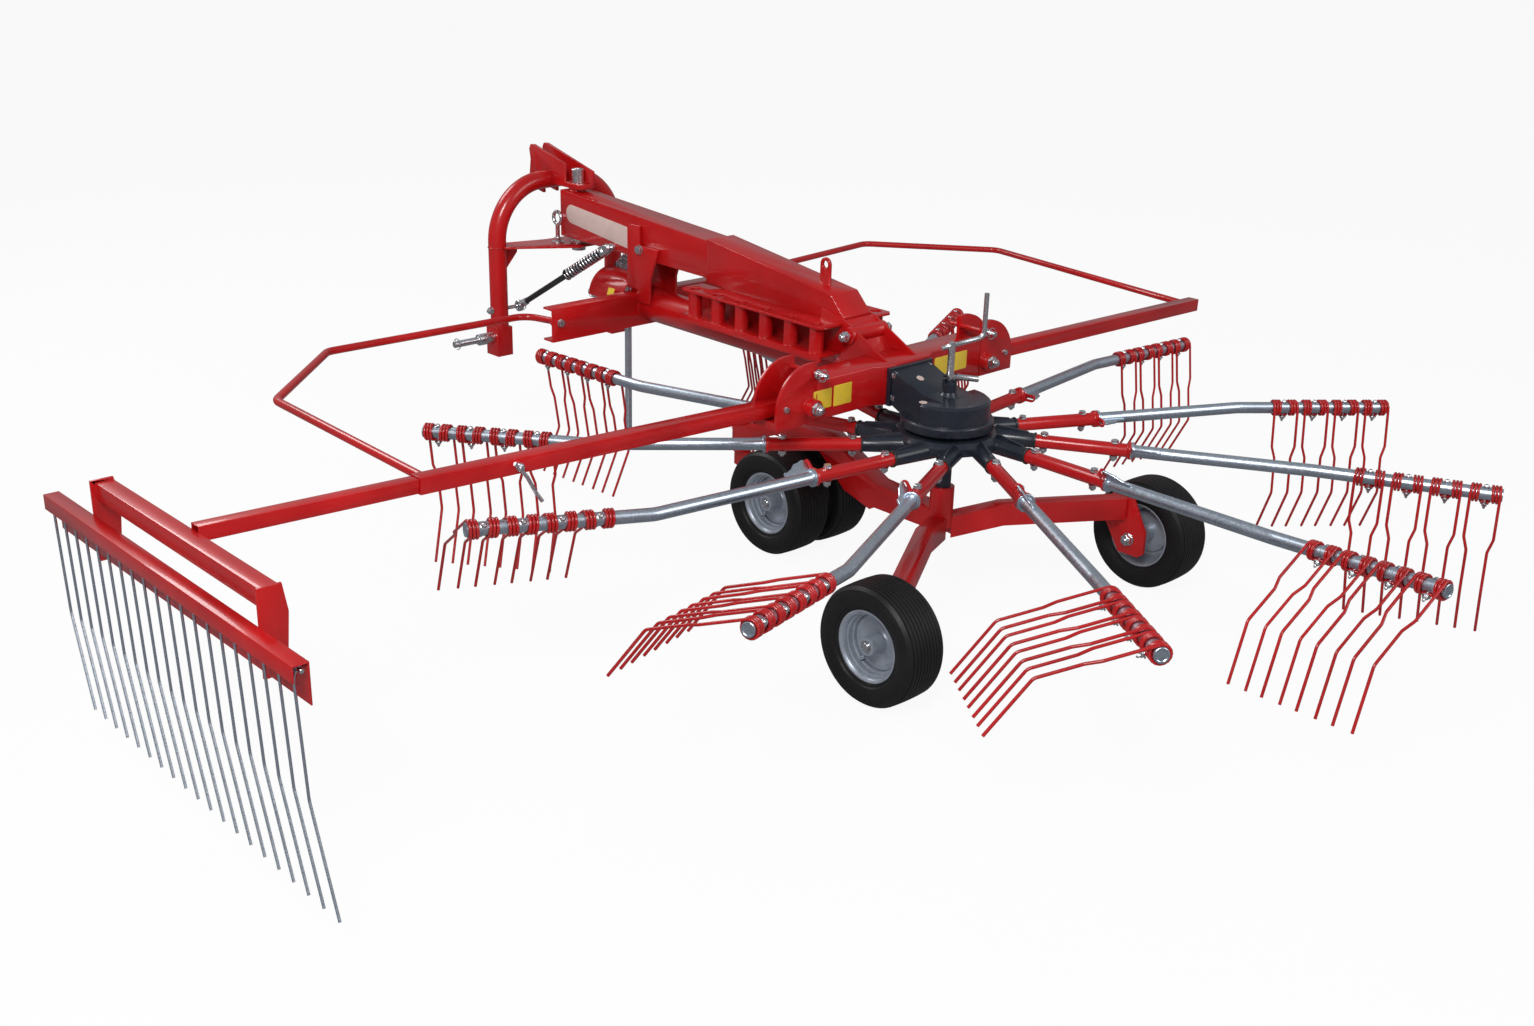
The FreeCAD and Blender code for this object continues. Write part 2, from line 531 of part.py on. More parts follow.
def fold_plates():
    """Left pair of hinge plates with boss, bolt, stop block and lock pin; the right pair mirrors it."""
    rear = CROSSBEAM_REAR
    front = rear + CROSSBEAM_DEPTH
    radius = FOLD_PLATE_OUTER - FOLD_SIDE
    outline = [(CROSSBEAM_HALF_WIDTH, CROSSBEAM_BOTTOM), (FOLD_PLATE_OUTER, CROSSBEAM_BOTTOM),
               (FOLD_PLATE_OUTER, FOLD_HEIGHT), (CROSSBEAM_HALF_WIDTH, FOLD_HEIGHT + radius / 2)]
    pin = bar(vec(rear - FOLD_BOSS_PROUD - THICK_SHEET, FOLD_SIDE, FOLD_HEIGHT),
              vec(front + 2 * THICK_SHEET, FOLD_SIDE, FOLD_HEIGHT), FOLD_PIN_DIAMETER / 2)
    boss = bar(vec(rear - FOLD_BOSS_PROUD, FOLD_SIDE, FOLD_HEIGHT), vec(rear, FOLD_SIDE, FOLD_HEIGHT),
               FOLD_BOSS_DIAMETER / 2)
    lock = bar(vec(rear - 4 * THICK_SHEET, LOCK_PIN_SIDE, LOCK_PIN_HEIGHT),
               vec(front + 3 * THICK_SHEET, LOCK_PIN_SIDE, LOCK_PIN_HEIGHT), LOCK_PIN_DIAMETER / 2)
    stop = block(rear + THICK_SHEET, front - THICK_SHEET, FOLD_PLATE_OUTER - SIDE_TUBE,
                 FOLD_PLATE_OUTER - SHEET / 2, CROSSBEAM_BOTTOM, STOP_TOP)
    shapes = [pin, boss, lock, stop]
    for x0 in (rear, front - THICK_SHEET):
        x1 = x0 + THICK_SHEET
        disc = bar(vec(x0, FOLD_SIDE, FOLD_HEIGHT), vec(x1, FOLD_SIDE, FOLD_HEIGHT), radius)
        keep = block(x0, x1, CROSSBEAM_HALF_WIDTH, FOLD_PLATE_OUTER, CROSSBEAM_BOTTOM,
                     FOLD_HEIGHT + 2 * radius)
        shapes.append(cross_plate(outline, x0, x1).fuse(disc.common(keep)))
    return fuse(shapes)


def arm_rack():
    """Left rack of upright sleeves for tine arms that are taken off for road travel."""
    inner = MAIN_TUBE_DIAMETER / 3
    outer = RACK_SIDE + RACK_SLEEVE_DIAMETER / 2 + SHEET
    first = RACK_FIRST - RACK_SLEEVE_DIAMETER
    last = RACK_FIRST + (RACK_SLEEVES - 1) * RACK_PITCH + RACK_SLEEVE_DIAMETER
    shelf = block(first, last, inner, outer, RACK_BOTTOM - SHEET, RACK_BOTTOM)
    lip = block(first, last, outer - SHEET, outer, RACK_BOTTOM - 3 * SHEET, RACK_BOTTOM)
    near = BEAM_WIDTH / 2 + REAR_PART_PROUD
    strip = flat_plate([(first, near), (first, outer - 2 * SHEET), (first + 2 * SHEET, outer),
                        (last - 2 * SHEET, outer), (last, outer - 2 * SHEET), (last, near)],
                       RACK_TOP - SHEET, RACK_TOP)
    wall = block(first, last, near, near + SHEET, RACK_BOTTOM - SHEET, RACK_TOP)
    shapes = [shelf, lip, strip, wall]
    bores = []
    for i in range(RACK_SLEEVES):
        at = RACK_FIRST + i * RACK_PITCH
        shapes.append(bar(vec(at, RACK_SIDE, RACK_BOTTOM), vec(at, RACK_SIDE, RACK_TOP),
                          RACK_SLEEVE_DIAMETER / 2))
        bores.append(bar(vec(at, RACK_SIDE, RACK_BOTTOM + SHEET), vec(at, RACK_SIDE, RACK_TOP + SHEET),
                         RACK_SLEEVE_BORE / 2))
    tube = bar(vec(0, 0, MAIN_TUBE_HEIGHT), vec(CHANNEL_REAR, 0, MAIN_TUBE_HEIGHT),
               MAIN_TUBE_DIAMETER / 2)
    beam = side_plate(beam_outline_rear(), -BEAM_WIDTH, BEAM_WIDTH / 2 + REAR_PART_PROUD)
    return fuse(shapes).cut(together(bores)).cut(tube).cut(beam).cut(rear_bracket())


def pto_shaft():
    """Drive shaft end with its thicker seat and the bearing that carries it in the main tube."""
    start = vec(CHANNEL_REAR - SIDE_TUBE, 0, MAIN_TUBE_HEIGHT)
    shoulder = vec(CHANNEL_REAR + CHANNEL_FLANGE, 0, MAIN_TUBE_HEIGHT)
    seat = bar(start, shoulder, PTO_DIAMETER / 2 + SHEET / 2)
    bearing = bar(start, vec(CHANNEL_REAR, 0, MAIN_TUBE_HEIGHT),
                  MAIN_TUBE_DIAMETER / 2 - MAIN_TUBE_WALL - TOUCH)
    return fuse([seat, bearing, bar(shoulder, shoulder + X_AXIS * PTO_LENGTH, PTO_DIAMETER / 2)])


def pto_guard():
    """Half round hood over the drive shaft end."""
    start = vec(CHANNEL_REAR + CHANNEL_FLANGE, 0, MAIN_TUBE_HEIGHT)
    end = vec(PTO_GUARD_END, 0, MAIN_TUBE_HEIGHT)
    shell = pipe(start, end, PTO_GUARD_RADIUS, PTO_GUARD_RADIUS - SHEET / 2)
    lower = block(start.x - SHEET, PTO_GUARD_END + SHEET, -2 * PTO_GUARD_RADIUS, 2 * PTO_GUARD_RADIUS,
                  MAIN_TUBE_HEIGHT - 2 * PTO_GUARD_RADIUS, MAIN_TUBE_HEIGHT)
    top = CHANNEL_BOTTOM + CHANNEL_HEIGHT
    foot = block(start.x, start.x + SHEET, -PTO_GUARD_RADIUS, PTO_GUARD_RADIUS, MAIN_TUBE_HEIGHT, top)
    shaft_way = bar(start - X_AXIS * SHEET, end, PTO_DIAMETER / 2 + SHEET)
    return fuse([shell.cut(lower), foot]).cut(shaft_way)


def stand_sleeve():
    """Guide for the parking stand on a bracket beside the beam nose."""
    radius = STAND_DIAMETER / 2
    bottom = vec(STAND_AT, STAND_SIDE, STAND_SLEEVE_BOTTOM)
    top = vec(STAND_AT, STAND_SIDE, STAND_SLEEVE_TOP)
    arm = block(STAND_AT - SIDE_TUBE / 2, STAND_AT + SIDE_TUBE / 2, STAND_SIDE, -BEAM_WIDTH / 2,
                BEAM_FRONT_BOTTOM + SHEET, BEAM_FRONT_BOTTOM + SHEET + THICK_SHEET)
    guide = fuse([arm, bar(bottom, top, radius + SHEET)])
    return guide.cut(bar(bottom - Z_AXIS * SHEET, top + Z_AXIS * SHEET, radius + TOUCH))


def stand_leg():
    """Parking stand: a bar with a round foot, down on the ground."""
    foot = turned([(0, 0), (STAND_FOOT_RADIUS, 0), (STAND_FOOT_RADIUS, SHEET), (0, 2 * SHEET)],
                  vec(STAND_AT, STAND_SIDE, 0), Z_AXIS)
    leg = bar(vec(STAND_AT, STAND_SIDE, SHEET), vec(STAND_AT, STAND_SIDE, STAND_TOP), STAND_DIAMETER / 2)
    return fuse([leg, foot])


# ---------------------------------------------------------------- gearbox, column, crank
def gearbox():
    """Cast housing above the rotor: low round cover, sloping neck to the crossbeam and crank boss."""
    rim = GEARBOX_BOTTOM + GEARBOX_RIM_HEIGHT
    dome_top = rim + GEARBOX_DOME_HEIGHT
    radius = GEARBOX_RADIUS
    body = turned([(0, GEARBOX_BOTTOM), (radius * 0.86, GEARBOX_BOTTOM), (radius * 0.9, rim - radius / 4),
                   (radius, rim - radius / 5), (radius, rim - 6), (radius * 0.97, rim), (0, rim)],
                  ORIGIN, Z_AXIS)
    cover = turned([(0, rim), (radius * 0.9, rim), (radius * 0.9, dome_top - 8), (radius * 0.84, dome_top),
                    (0, dome_top)], ORIGIN, Z_AXIS)
    cover = cover.cut(block(0, radius, radius * 0.45, radius, rim, dome_top))
    cover = cover.cut(block(0, radius, -radius, -radius * 0.45, rim, dome_top))
    back = CROSSBEAM_REAR - SADDLE_DEPTH
    half = GEARBOX_FLANGE_WIDTH / 2
    top = CROSSBEAM_BOTTOM + CROSSBEAM_HEIGHT
    flange = block(back - 1.5 * THICK_SHEET, back, -half, half, CROSSBEAM_BOTTOM, top - SHEET)
    neck_side = side_plate([(back - THICK_SHEET, CROSSBEAM_BOTTOM + SHEET), (back - THICK_SHEET, top - 2 * SHEET),
                            (radius * 0.2, dome_top + THICK_SHEET), (-radius / 3, dome_top),
                            (-radius / 3, rim - radius / 6), (radius * 0.6, rim - radius / 6)],
                           -half, half)
    plan = flat_plate([(back, -half + SHEET), (back, half - SHEET), (radius * 0.2, radius * 0.55),
                       (-radius / 3, radius * 0.5), (-radius / 3, -radius * 0.5),
                       (radius * 0.2, -radius * 0.55)], GEARBOX_BOTTOM, top)
    boss = bar(vec(0, 0, rim), vec(0, 0, dome_top + 4.2 * THICK_SHEET), 2.1 * THICK_SHEET)
    foot = Part.makeCone(3.2 * THICK_SHEET, 2.1 * THICK_SHEET, 1.5 * THICK_SHEET, vec(0, 0, dome_top))
    return fuse([body, cover, flange, neck_side.common(plan), boss, foot])


def crank():
    """Height crank on the gearbox: shaft, cross handle and grip."""
    seat = GEARBOX_BOTTOM + GEARBOX_RIM_HEIGHT + GEARBOX_DOME_HEIGHT + 4.2 * THICK_SHEET
    radius = CRANK_SHAFT_DIAMETER / 2
    turn = math.radians(CRANK_ANGLE)
    swing = vec(math.cos(turn), math.sin(turn), 0)
    top = vec(0, 0, CRANK_TOP)
    far = top + swing * CRANK_ARM
    shaft = bar(vec(0, 0, seat), top + Z_AXIS * radius, radius)
    near = top - swing * (CRANK_ARM / 3)
    rise = Z_AXIS * CRANK_TOP_RISE
    handle = bent_bar([near - rise / 3, far + rise, far + rise + Z_AXIS * CRANK_HANDLE_HEIGHT],
                      radius * 0.7, 2 * radius)
    stop_height = seat + 2 * THICK_SHEET
    start = vec(0, 0, stop_height) - swing * radius
    stop = bar(start, start + swing * CRANK_ARM - rise, radius * 0.85)
    return fuse([shaft, handle, stop])


def column():
    """Rotor column from the gearbox down into the collar of the undercarriage."""
    return bar(vec(0, 0, COLLAR_BOTTOM + SHEET), vec(0, 0, GEARBOX_BOTTOM), COLUMN_DIAMETER / 2)


# ---------------------------------------------------------------- undercarriage
def front_beam():
    """Arched beam from the column collar over the front wheels to the castor tube."""
    half = FRONT_BEAM_WIDTH / 2
    under = 2 * TYRE_RADIUS + FRONT_ARCH_GAP
    upper = under + FRONT_ARCH_DEPTH
    arch_outline = [(FRONT_ARCH_REAR, under), (FRONT_ARCH_FRONT, under),
                    (CASTOR_AT, CASTOR_TUBE_BOTTOM + FRONT_NOSE_INSET),
                    (CASTOR_AT, CASTOR_TUBE_TOP - FRONT_NOSE_TOP_INSET),
                    (FRONT_ARCH_FRONT + FRONT_ARCH_FRONT_SLOPE, upper),
                    (FRONT_ARCH_REAR - FRONT_ARCH_REAR_SLOPE, upper)]
    arch = side_plate(FRONT_BEAM_UNDER + arch_outline + FRONT_BEAM_UPPER, -half, half)
    tube = bar(vec(CASTOR_AT, 0, CASTOR_TUBE_BOTTOM), vec(CASTOR_AT, 0, CASTOR_TUBE_TOP),
               CASTOR_TUBE_DIAMETER / 2)
    pin_way = bar(vec(CASTOR_AT, 0, CASTOR_TUBE_BOTTOM - SHEET), vec(CASTOR_AT, 0, CASTOR_TUBE_TOP + SHEET),
                  CASTOR_PIN_DIAMETER / 2 + 0.05)
    collar = bar(vec(0, 0, COLLAR_BOTTOM - 2 * SHEET), vec(0, 0, COLLAR_TOP), COLUMN_COLLAR_DIAMETER / 2)
    column_way = bar(vec(0, 0, COLLAR_BOTTOM + SHEET), vec(0, 0, COLLAR_TOP + SHEET), COLUMN_DIAMETER / 2)
    return fuse([arch, tube, collar]).cut(pin_way).cut(column_way)


def rear_arm():
    """Left bent box arm with its axle plate and stub axle; the right arm is its mirror image."""
    half = REAR_ARM_WIDTH / 2
    inner_top = REAR_ARM_INNER_TOP
    outer_top = REAR_ARM_OUTER_TOP
    plate_side = REAR_WHEEL_SIDE - TYRE_WIDTH / 2 - REAR_PLATE_GAP
    knee = vec(REAR_ARM_KNEE[0], REAR_ARM_KNEE[1], 0)
    start = vec(0, 0, 0)
    end = vec(REAR_ARM_END, plate_side, 0)
    points = [start, knee, end]

    def leg(a, b, top_a, top_b):
        side = (b - a).cross(Z_AXIS).normalize() * half
        low = REAR_ARM_HEIGHT
        ring_a = [a + side + Z_AXIS * top_a, a - side + Z_AXIS * top_a,
                  a - side + Z_AXIS * (top_a - low), a + side + Z_AXIS * (top_a - low)]
        ring_b = [b + side + Z_AXIS * top_b, b - side + Z_AXIS * top_b,
                  b - side + Z_AXIS * (top_b - low), b + side + Z_AXIS * (top_b - low)]
        wires = [Part.makePolygon(r + r[:1]) for r in (ring_a, ring_b)]
        return Part.makeLoft(wires, True, True)

    def knee_post(at, top):
        return bar(at + Z_AXIS * (top - REAR_ARM_HEIGHT), at + Z_AXIS * top, half)

    inner = leg(points[0], points[1], inner_top, outer_top)
    outer = leg(points[1], points[2], outer_top, outer_top)
    corner_height = TYRE_RADIUS - REAR_PLATE_DROP[0]
    low = TYRE_RADIUS - REAR_PLATE_DROP[1]
    outline = [(REAR_PLATE_FRONT[0], outer_top), (REAR_PLATE_BACK, outer_top),
               (REAR_PLATE_TAIL, REAR_PLATE_SHOULDER), (REAR_PLATE_TAIL, corner_height),
               (REAR_PLATE_TAIL + REAR_PLATE_CORNER, low), (REAR_AXLE_AT + 1.6 * AXLE_DIAMETER, low),
               (REAR_PLATE_FRONT[1], outer_top - REAR_ARM_HEIGHT)]
    plate = side_plate(outline, plate_side - THICK_SHEET / 2, plate_side + THICK_SHEET / 2)
    axle = bar(vec(REAR_AXLE_AT, plate_side - 2 * THICK_SHEET, TYRE_RADIUS),
               vec(REAR_AXLE_AT, REAR_WHEEL_SIDE + AXLE_SHORT, TYRE_RADIUS), AXLE_DIAMETER / 2)
    arm = fuse([inner, outer, knee_post(knee, outer_top), plate, axle])
    reach = 2 * REAR_WHEEL_SIDE
    other_side = block(-reach, reach, -reach, 0, 0, reach)
    collar = bar(vec(0, 0, 0), vec(0, 0, COLLAR_TOP), COLUMN_COLLAR_DIAMETER / 2)
    beam_half = FRONT_BEAM_WIDTH / 2
    beam = block(0, reach, -beam_half, beam_half, 0, reach)
    return arm.cut(other_side).cut(collar).cut(beam)


def castor_yoke():
    """Trailing plate between the front wheels, with its pivot pin and the common axle."""
    pin = bar(vec(CASTOR_AT, 0, CASTOR_TUBE_BOTTOM - THICK_SHEET), vec(CASTOR_AT, 0, CASTOR_TUBE_TOP + SHEET),
              CASTOR_PIN_DIAMETER / 2)
    cap = bar(vec(CASTOR_AT, 0, CASTOR_TUBE_TOP + TOUCH), vec(CASTOR_AT, 0, CASTOR_TUBE_TOP + SHEET),
              CASTOR_PIN_DIAMETER * 0.8)
    seat = CASTOR_TUBE_BOTTOM - TOUCH
    base = bar(vec(CASTOR_AT, 0, seat - THICK_SHEET), vec(CASTOR_AT, 0, seat), CASTOR_TUBE_DIAMETER / 2)
    half = CASTOR_PLATE / 2
    nose = CASTOR_AT + CASTOR_PLATE_NOSE
    low, high = CASTOR_PLATE_EDGES
    ahead, behind = CASTOR_PLATE_ENDS
    outline = [(nose, seat - THICK_SHEET), (nose, CASTOR_PLATE_BEND), (FRONT_AXLE_AT + ahead, low),
               (FRONT_AXLE_AT - behind, low), (FRONT_AXLE_AT - behind, high),
               (CASTOR_AT - CASTOR_PLATE_NECK, seat - THICK_SHEET)]
    plate = side_plate(outline, -half, half)
    axle = bar(vec(FRONT_AXLE_AT, -FRONT_WHEEL_SIDE - AXLE_SHORT, TYRE_RADIUS),
               vec(FRONT_AXLE_AT, FRONT_WHEEL_SIDE + AXLE_SHORT, TYRE_RADIUS), AXLE_DIAMETER / 2)
    return fuse([pin, cap, base, plate, axle])


def tyre(at, side):
    """Ribbed flotation tyre with its cavity closed."""
    half = TYRE_WIDTH / 2
    outer = TYRE_RADIUS
    seat = RIM_RADIUS
    profile = [(seat - 8, -half * 0.62), (seat + 6, -half * 0.8), (seat + 38, -half), (outer - 22, -half * 0.97),
               (outer - 6, -half * 0.82)]
    ribs = 5
    span = half * 1.5
    for i in range(ribs):
        left = -span / 2 + span * i / ribs
        right = left + span / ribs
        profile += [(outer, left + 3), (outer, right - 3)]
        if i < ribs - 1:
            profile += [(outer - 5, right - 2), (outer - 5, right + 2)]
    profile += [(outer - 6, half * 0.82), (outer - 22, half * 0.97), (seat + 38, half),
                (seat + 6, half * 0.8), (seat - 8, half * 0.62)]
    return turned(profile, vec(at, side, TYRE_RADIUS), Y_AXIS).cut(rim(at, side, 1))


def rim(at, side, outwards):
    """Pressed steel rim with its hub."""
    half = TYRE_WIDTH / 2
    seat = RIM_RADIUS - 8
    face = half * 0.1 * outwards
    thin = 4.0
    shell = [(seat, -half * 0.62), (RIM_RADIUS + 5.5, -half * 0.78), (RIM_RADIUS + 4, -half * 0.84),
             (seat - thin, -half * 0.66), (seat - 14, -half * 0.3), (seat - 14, half * 0.3),
             (seat - thin, half * 0.66), (RIM_RADIUS + 4, half * 0.84), (RIM_RADIUS + 5.5, half * 0.78),
             (seat, half * 0.62)]
    bore = AXLE_DIAMETER / 2 + 0.05
    disc = [(bore, face - thin), (seat - 12, face - thin), (seat - 12, face + thin), (bore, face + thin)]
    hub_half = half * 0.5
    hub = [(bore, -hub_half), (RIM_HUB_RADIUS, -hub_half), (RIM_HUB_RADIUS, hub_half), (bore, hub_half)]
    centre = vec(at, side, TYRE_RADIUS)
    return fuse([turned(p, centre, Y_AXIS) for p in (shell, disc, hub)])


# ---------------------------------------------------------------- rotor
def arm_angle(number):
    return math.radians(FIRST_ARM_ANGLE + number * 360.0 / ARM_COUNT)


def arm_frame(number):
    """Origin, outward, trailing and up directions of one arm at the arm plane."""
    angle = arm_angle(number)
    outward = vec(math.cos(angle), math.sin(angle), 0)
    trailing = vec(math.sin(angle), -math.cos(angle), 0)
    base = vec(0, 0, ROTOR_HEIGHT) - trailing * ARM_SIDE_OFFSET
    droop = math.radians(ARM_DROOP)
    sloped = outward * math.cos(droop) - Z_AXIS * math.sin(droop)
    return base, sloped, trailing


def ear_ways(number):
    """Directions of an arm's ear: towards its crest, and along its thickness. The cam turns both."""
    base, outward, trailing = arm_frame(number)
    up = outward.cross(trailing)
    if up.z < 0:
        up = up * -1
    turn = math.radians(CAM_TWIST.get(number, 0.0))
    crest = trailing * math.cos(turn) + up * math.sin(turn)
    side = trailing * math.sin(turn) - up * math.cos(turn)
    return crest, side


def rotor_hub():
    """Cast bell with one tapered socket for each tine arm."""
    half = HUB_BELL_HEIGHT / 2
    low = ROTOR_HEIGHT - half
    top = ROTOR_HEIGHT + half
    bell = turned([(HUB_BORE_RADIUS, low + 12), (HUB_RADIUS * 0.62, low), (HUB_RADIUS * 0.8, low + 10),
                   (HUB_RADIUS, ROTOR_HEIGHT - 8), (HUB_RADIUS, top - 14), (HUB_RADIUS * 0.9, top),
                   (HUB_BORE_RADIUS, top)], ORIGIN, Z_AXIS)
    shapes = [bell]
    for number in range(ARM_COUNT):
        base, outward, trailing = arm_frame(number)
        start = base + outward * (HUB_RADIUS * 0.45)
        middle = base + outward * (HUB_RADIUS * 1.2)
        end = base + outward * SOCKET_LENGTH
        cone = Part.makeCone(SOCKET_RADIUS, SOCKET_RADIUS * 0.82, (end - start).Length, start, outward)
        shapes.append(cone)
        rib = Part.makePolygon([middle - outward * 40 + Z_AXIS * 30, end + Z_AXIS * 20,
                                middle - outward * 40 - Z_AXIS * 26, middle - outward * 40 + Z_AXIS * 30])
        blade = Part.Face(rib).extrude(trailing * 6)
        blade.translate(trailing * -3)
        shapes.append(blade)
    hub = fuse(shapes)
    for number in range(ARM_COUNT):
        base, outward, trailing = arm_frame(number)
        start = base + outward * (SOCKET_LENGTH - 60)
        hub = hub.cut(bar(start, base + outward * (SOCKET_LENGTH + 5), SPIGOT_DIAMETER / 2))
    return hub


def arm_sleeve(number):
    """Red bearing sleeve of one arm, with its slotted lever."""
    base, outward, trailing = arm_frame(number)
    start = base + outward * SOCKET_LENGTH
    end = base + outward * SLEEVE_END
    sleeve = bar(start, end, SLEEVE_DIAMETER / 2)
    spigot = bar(base + outward * (SOCKET_LENGTH - 60), start, SPIGOT_DIAMETER / 2)
    flange = bar(end - outward * COLLAR_LENGTH, end, COLLAR_DIAMETER / 2)
    crest, side = ear_ways(number)
    half = LEVER_WIDTH / 2
    root = end - outward * COLLAR_LENGTH
    low = COLLAR_DIAMETER / 2 + LEVER_SLOT / 2
    high = LEVER_HEIGHT - half
    outline = [(-1.3 * half, 0), (-half, high), (-half / 2, LEVER_HEIGHT), (half / 2, LEVER_HEIGHT),
               (half, high), (1.3 * half, 0)]
    points = [root + side * across + crest * rise for across, rise in outline]
    lever = Part.Face(Part.makePolygon(points + points[:1])).extrude(outward * COLLAR_LENGTH)
    ends = [root + crest * rise for rise in (low, high)]
    corners = [ends[0] - side * (LEVER_SLOT / 2), ends[0] + side * (LEVER_SLOT / 2),
               ends[1] + side * (LEVER_SLOT / 2), ends[1] - side * (LEVER_SLOT / 2)]
    slot = fuse([Part.Face(Part.makePolygon(corners + corners[:1])).extrude(outward * COLLAR_LENGTH)]
                + [bar(place, place + outward * COLLAR_LENGTH, LEVER_SLOT / 2) for place in ends])
    lever = lever.cut(slot)
    return fuse([sleeve, spigot, flange, lever])


def coil_sleeve(centre, axis):
    """Closed spring coil round the arm: a ribbed ring with one rib for each turn."""
    inner = ARM_DIAMETER / 2 + TOUCH
    crest = inner + TINE_WIRE
    valley = inner + TINE_WIRE * 0.6
    length = TINE_TURNS * TINE_WIRE
    profile = [(inner, -length / 2)]
    for turn in range(TINE_TURNS):
        left = -length / 2 + turn * TINE_WIRE
        profile += [(valley, left), (crest, left + TINE_WIRE * 0.3), (crest, left + TINE_WIRE * 0.7),
                    (valley, left + TINE_WIRE)]
    profile.append((inner, length / 2))
    clean = [profile[0]] + [p for a, p in zip(profile, profile[1:]) if a != p]
    return turned(clean, centre, axis)


def tine_leg(centre, axis, down, lead, jog):
    """One tine from its coil to its tip."""
    lean = math.radians(TINE_LEAN)
    hook = math.radians(TINE_HOOK)
    upper = down * math.cos(lean) - lead * math.sin(lean)
    lower = down * math.cos(hook) + lead * math.sin(hook)
    edge = axis * (-jog * (TINE_TURNS - 1) * TINE_WIRE / 2)
    start = centre + edge - lead * (ARM_DIAMETER / 2 + 2 * TOUCH + TINE_WIRE / 2)
    one = start + upper * TINE_UPPER
    two = one + upper * TINE_JOG_DROP + axis * (jog * TINE_JOG)
    three = two + upper * TINE_MIDDLE
    four = three + lower * TINE_LOWER
    return bent_bar([start, one, two, three, four], TINE_WIRE / 2, 3 * TINE_WIRE)


def double_tine(first, axis, down, lead):
    """Two coils wound from one wire, joined under the arm, with a tine on the far side of each."""
    second = first + axis * COIL_PITCH
    under = down * (ARM_DIAMETER / 2 + TOUCH + TINE_WIRE / 2)
    link = bar(first + under, second + under, TINE_WIRE / 2)
    return fuse([coil_sleeve(first, axis), coil_sleeve(second, axis), link,
                 tine_leg(first, axis, down, lead, 1), tine_leg(second, axis, down, lead, -1)])


def tine_arm(number):
    """Galvanised arm of one tine set: straight run, bend, coils and tines."""
    base, outward, trailing = arm_frame(number)
    twist = math.radians(CAM_TWIST.get(number, 0.0))
    tine_twist = math.radians(CAM_TINE_TWIST.get(number, 0.0))
    bend = math.radians(ARM_BEND)
    sideways = math.sin(bend) * math.cos(twist)
    rise = math.sin(bend) * math.sin(twist) * CAM_RISE_SHARE
    along = math.sqrt(1 - sideways ** 2 - rise ** 2)
    start = base + outward * (SLEEVE_END + TOUCH)
    knee = base + outward * ARM_BEND_AT
    run = (outward * along + trailing * sideways + Z_AXIS * rise).normalize()
    tip = knee + run * ARM_OUTER_LENGTH
    solid = bent_bar([start, knee, tip], ARM_DIAMETER / 2, ARM_BEND_RADIUS)
    bore = bent_bar([start - outward * 5, knee, tip + run * 5], ARM_DIAMETER / 2 - ARM_WALL, ARM_BEND_RADIUS)
    collar = bar(start, start + outward * COLLAR_LENGTH, COLLAR_DIAMETER / 2)
    ear = arm_ear(start, outward, *ear_ways(number))
    shapes = [solid.cut(bore), collar.cut(bore), ear.cut(bore)]
    level_down = (run * run.dot(Z_AXIS) - Z_AXIS).normalize()
    level_back = run.cross(level_down)
    if level_back.dot(trailing) < 0:
        level_back = level_back * -1
    down = level_down * math.cos(tine_twist) + level_back * math.sin(tine_twist)
    lead = level_down * math.sin(tine_twist) - level_back * math.cos(tine_twist)
    tines = [double_tine(knee + run * (FIRST_COIL_AT + 2 * i * COIL_PITCH), run, down, lead)
             for i in range(TINE_PAIRS)]
    return together([fuse(shapes)] + tines)


def arm_ear(start, outward, crest_way, side_way):
    """Ear plate on the arm that works against the sleeve's slotted lever."""
    foot = start
    crest = crest_way * LEVER_HEIGHT - side_way * EAR_LEAN
    root = crest_way * EAR_ROOT
    points = [foot + root, foot + crest, foot + outward * EAR_CREST + crest, foot + outward * LEVER_LENGTH + root]
    face = Part.Face(Part.makePolygon(points + points[:1]))
    return face.extrude(side_way * EAR_THICKNESS)


# ---------------------------------------------------------------- side arms and curtain
def arm_point(side, rise, y, x, lift=0.0):
    """Point of a side arm: y is measured out from the fold axis along the tilted arm."""
    out = y - FOLD_SIDE
    angle = math.radians(rise)
    return vec(x, side * (FOLD_SIDE + out * math.cos(angle) - lift * math.sin(angle)),
               FOLD_HEIGHT + out * math.sin(angle) + lift * math.cos(angle))


def side_arm(side, rise):
    """Square tube arm with its hinge eye."""
    start = arm_point(side, rise, FOLD_SIDE + FOLD_PIN_DIAMETER, SIDE_ARM_AT)
    end = arm_point(side, rise, SIDE_ARM_END, SIDE_ARM_AT)
    tube = square_tube(start, end, SIDE_TUBE, SIDE_TUBE_WALL)
    inside = CROSSBEAM_REAR + THICK_SHEET + TOUCH
    outside = CROSSBEAM_REAR + CROSSBEAM_DEPTH - THICK_SHEET - TOUCH
    eye = bar(vec(inside, side * FOLD_SIDE, FOLD_HEIGHT), vec(outside, side * FOLD_SIDE, FOLD_HEIGHT),
              SIDE_TUBE / 2)
    hole = bar(vec(inside - SHEET, side * FOLD_SIDE, FOLD_HEIGHT),
               vec(outside + SHEET, side * FOLD_SIDE, FOLD_HEIGHT), FOLD_PIN_DIAMETER / 2 + 0.05)
    return fuse([tube, eye]).cut(hole)


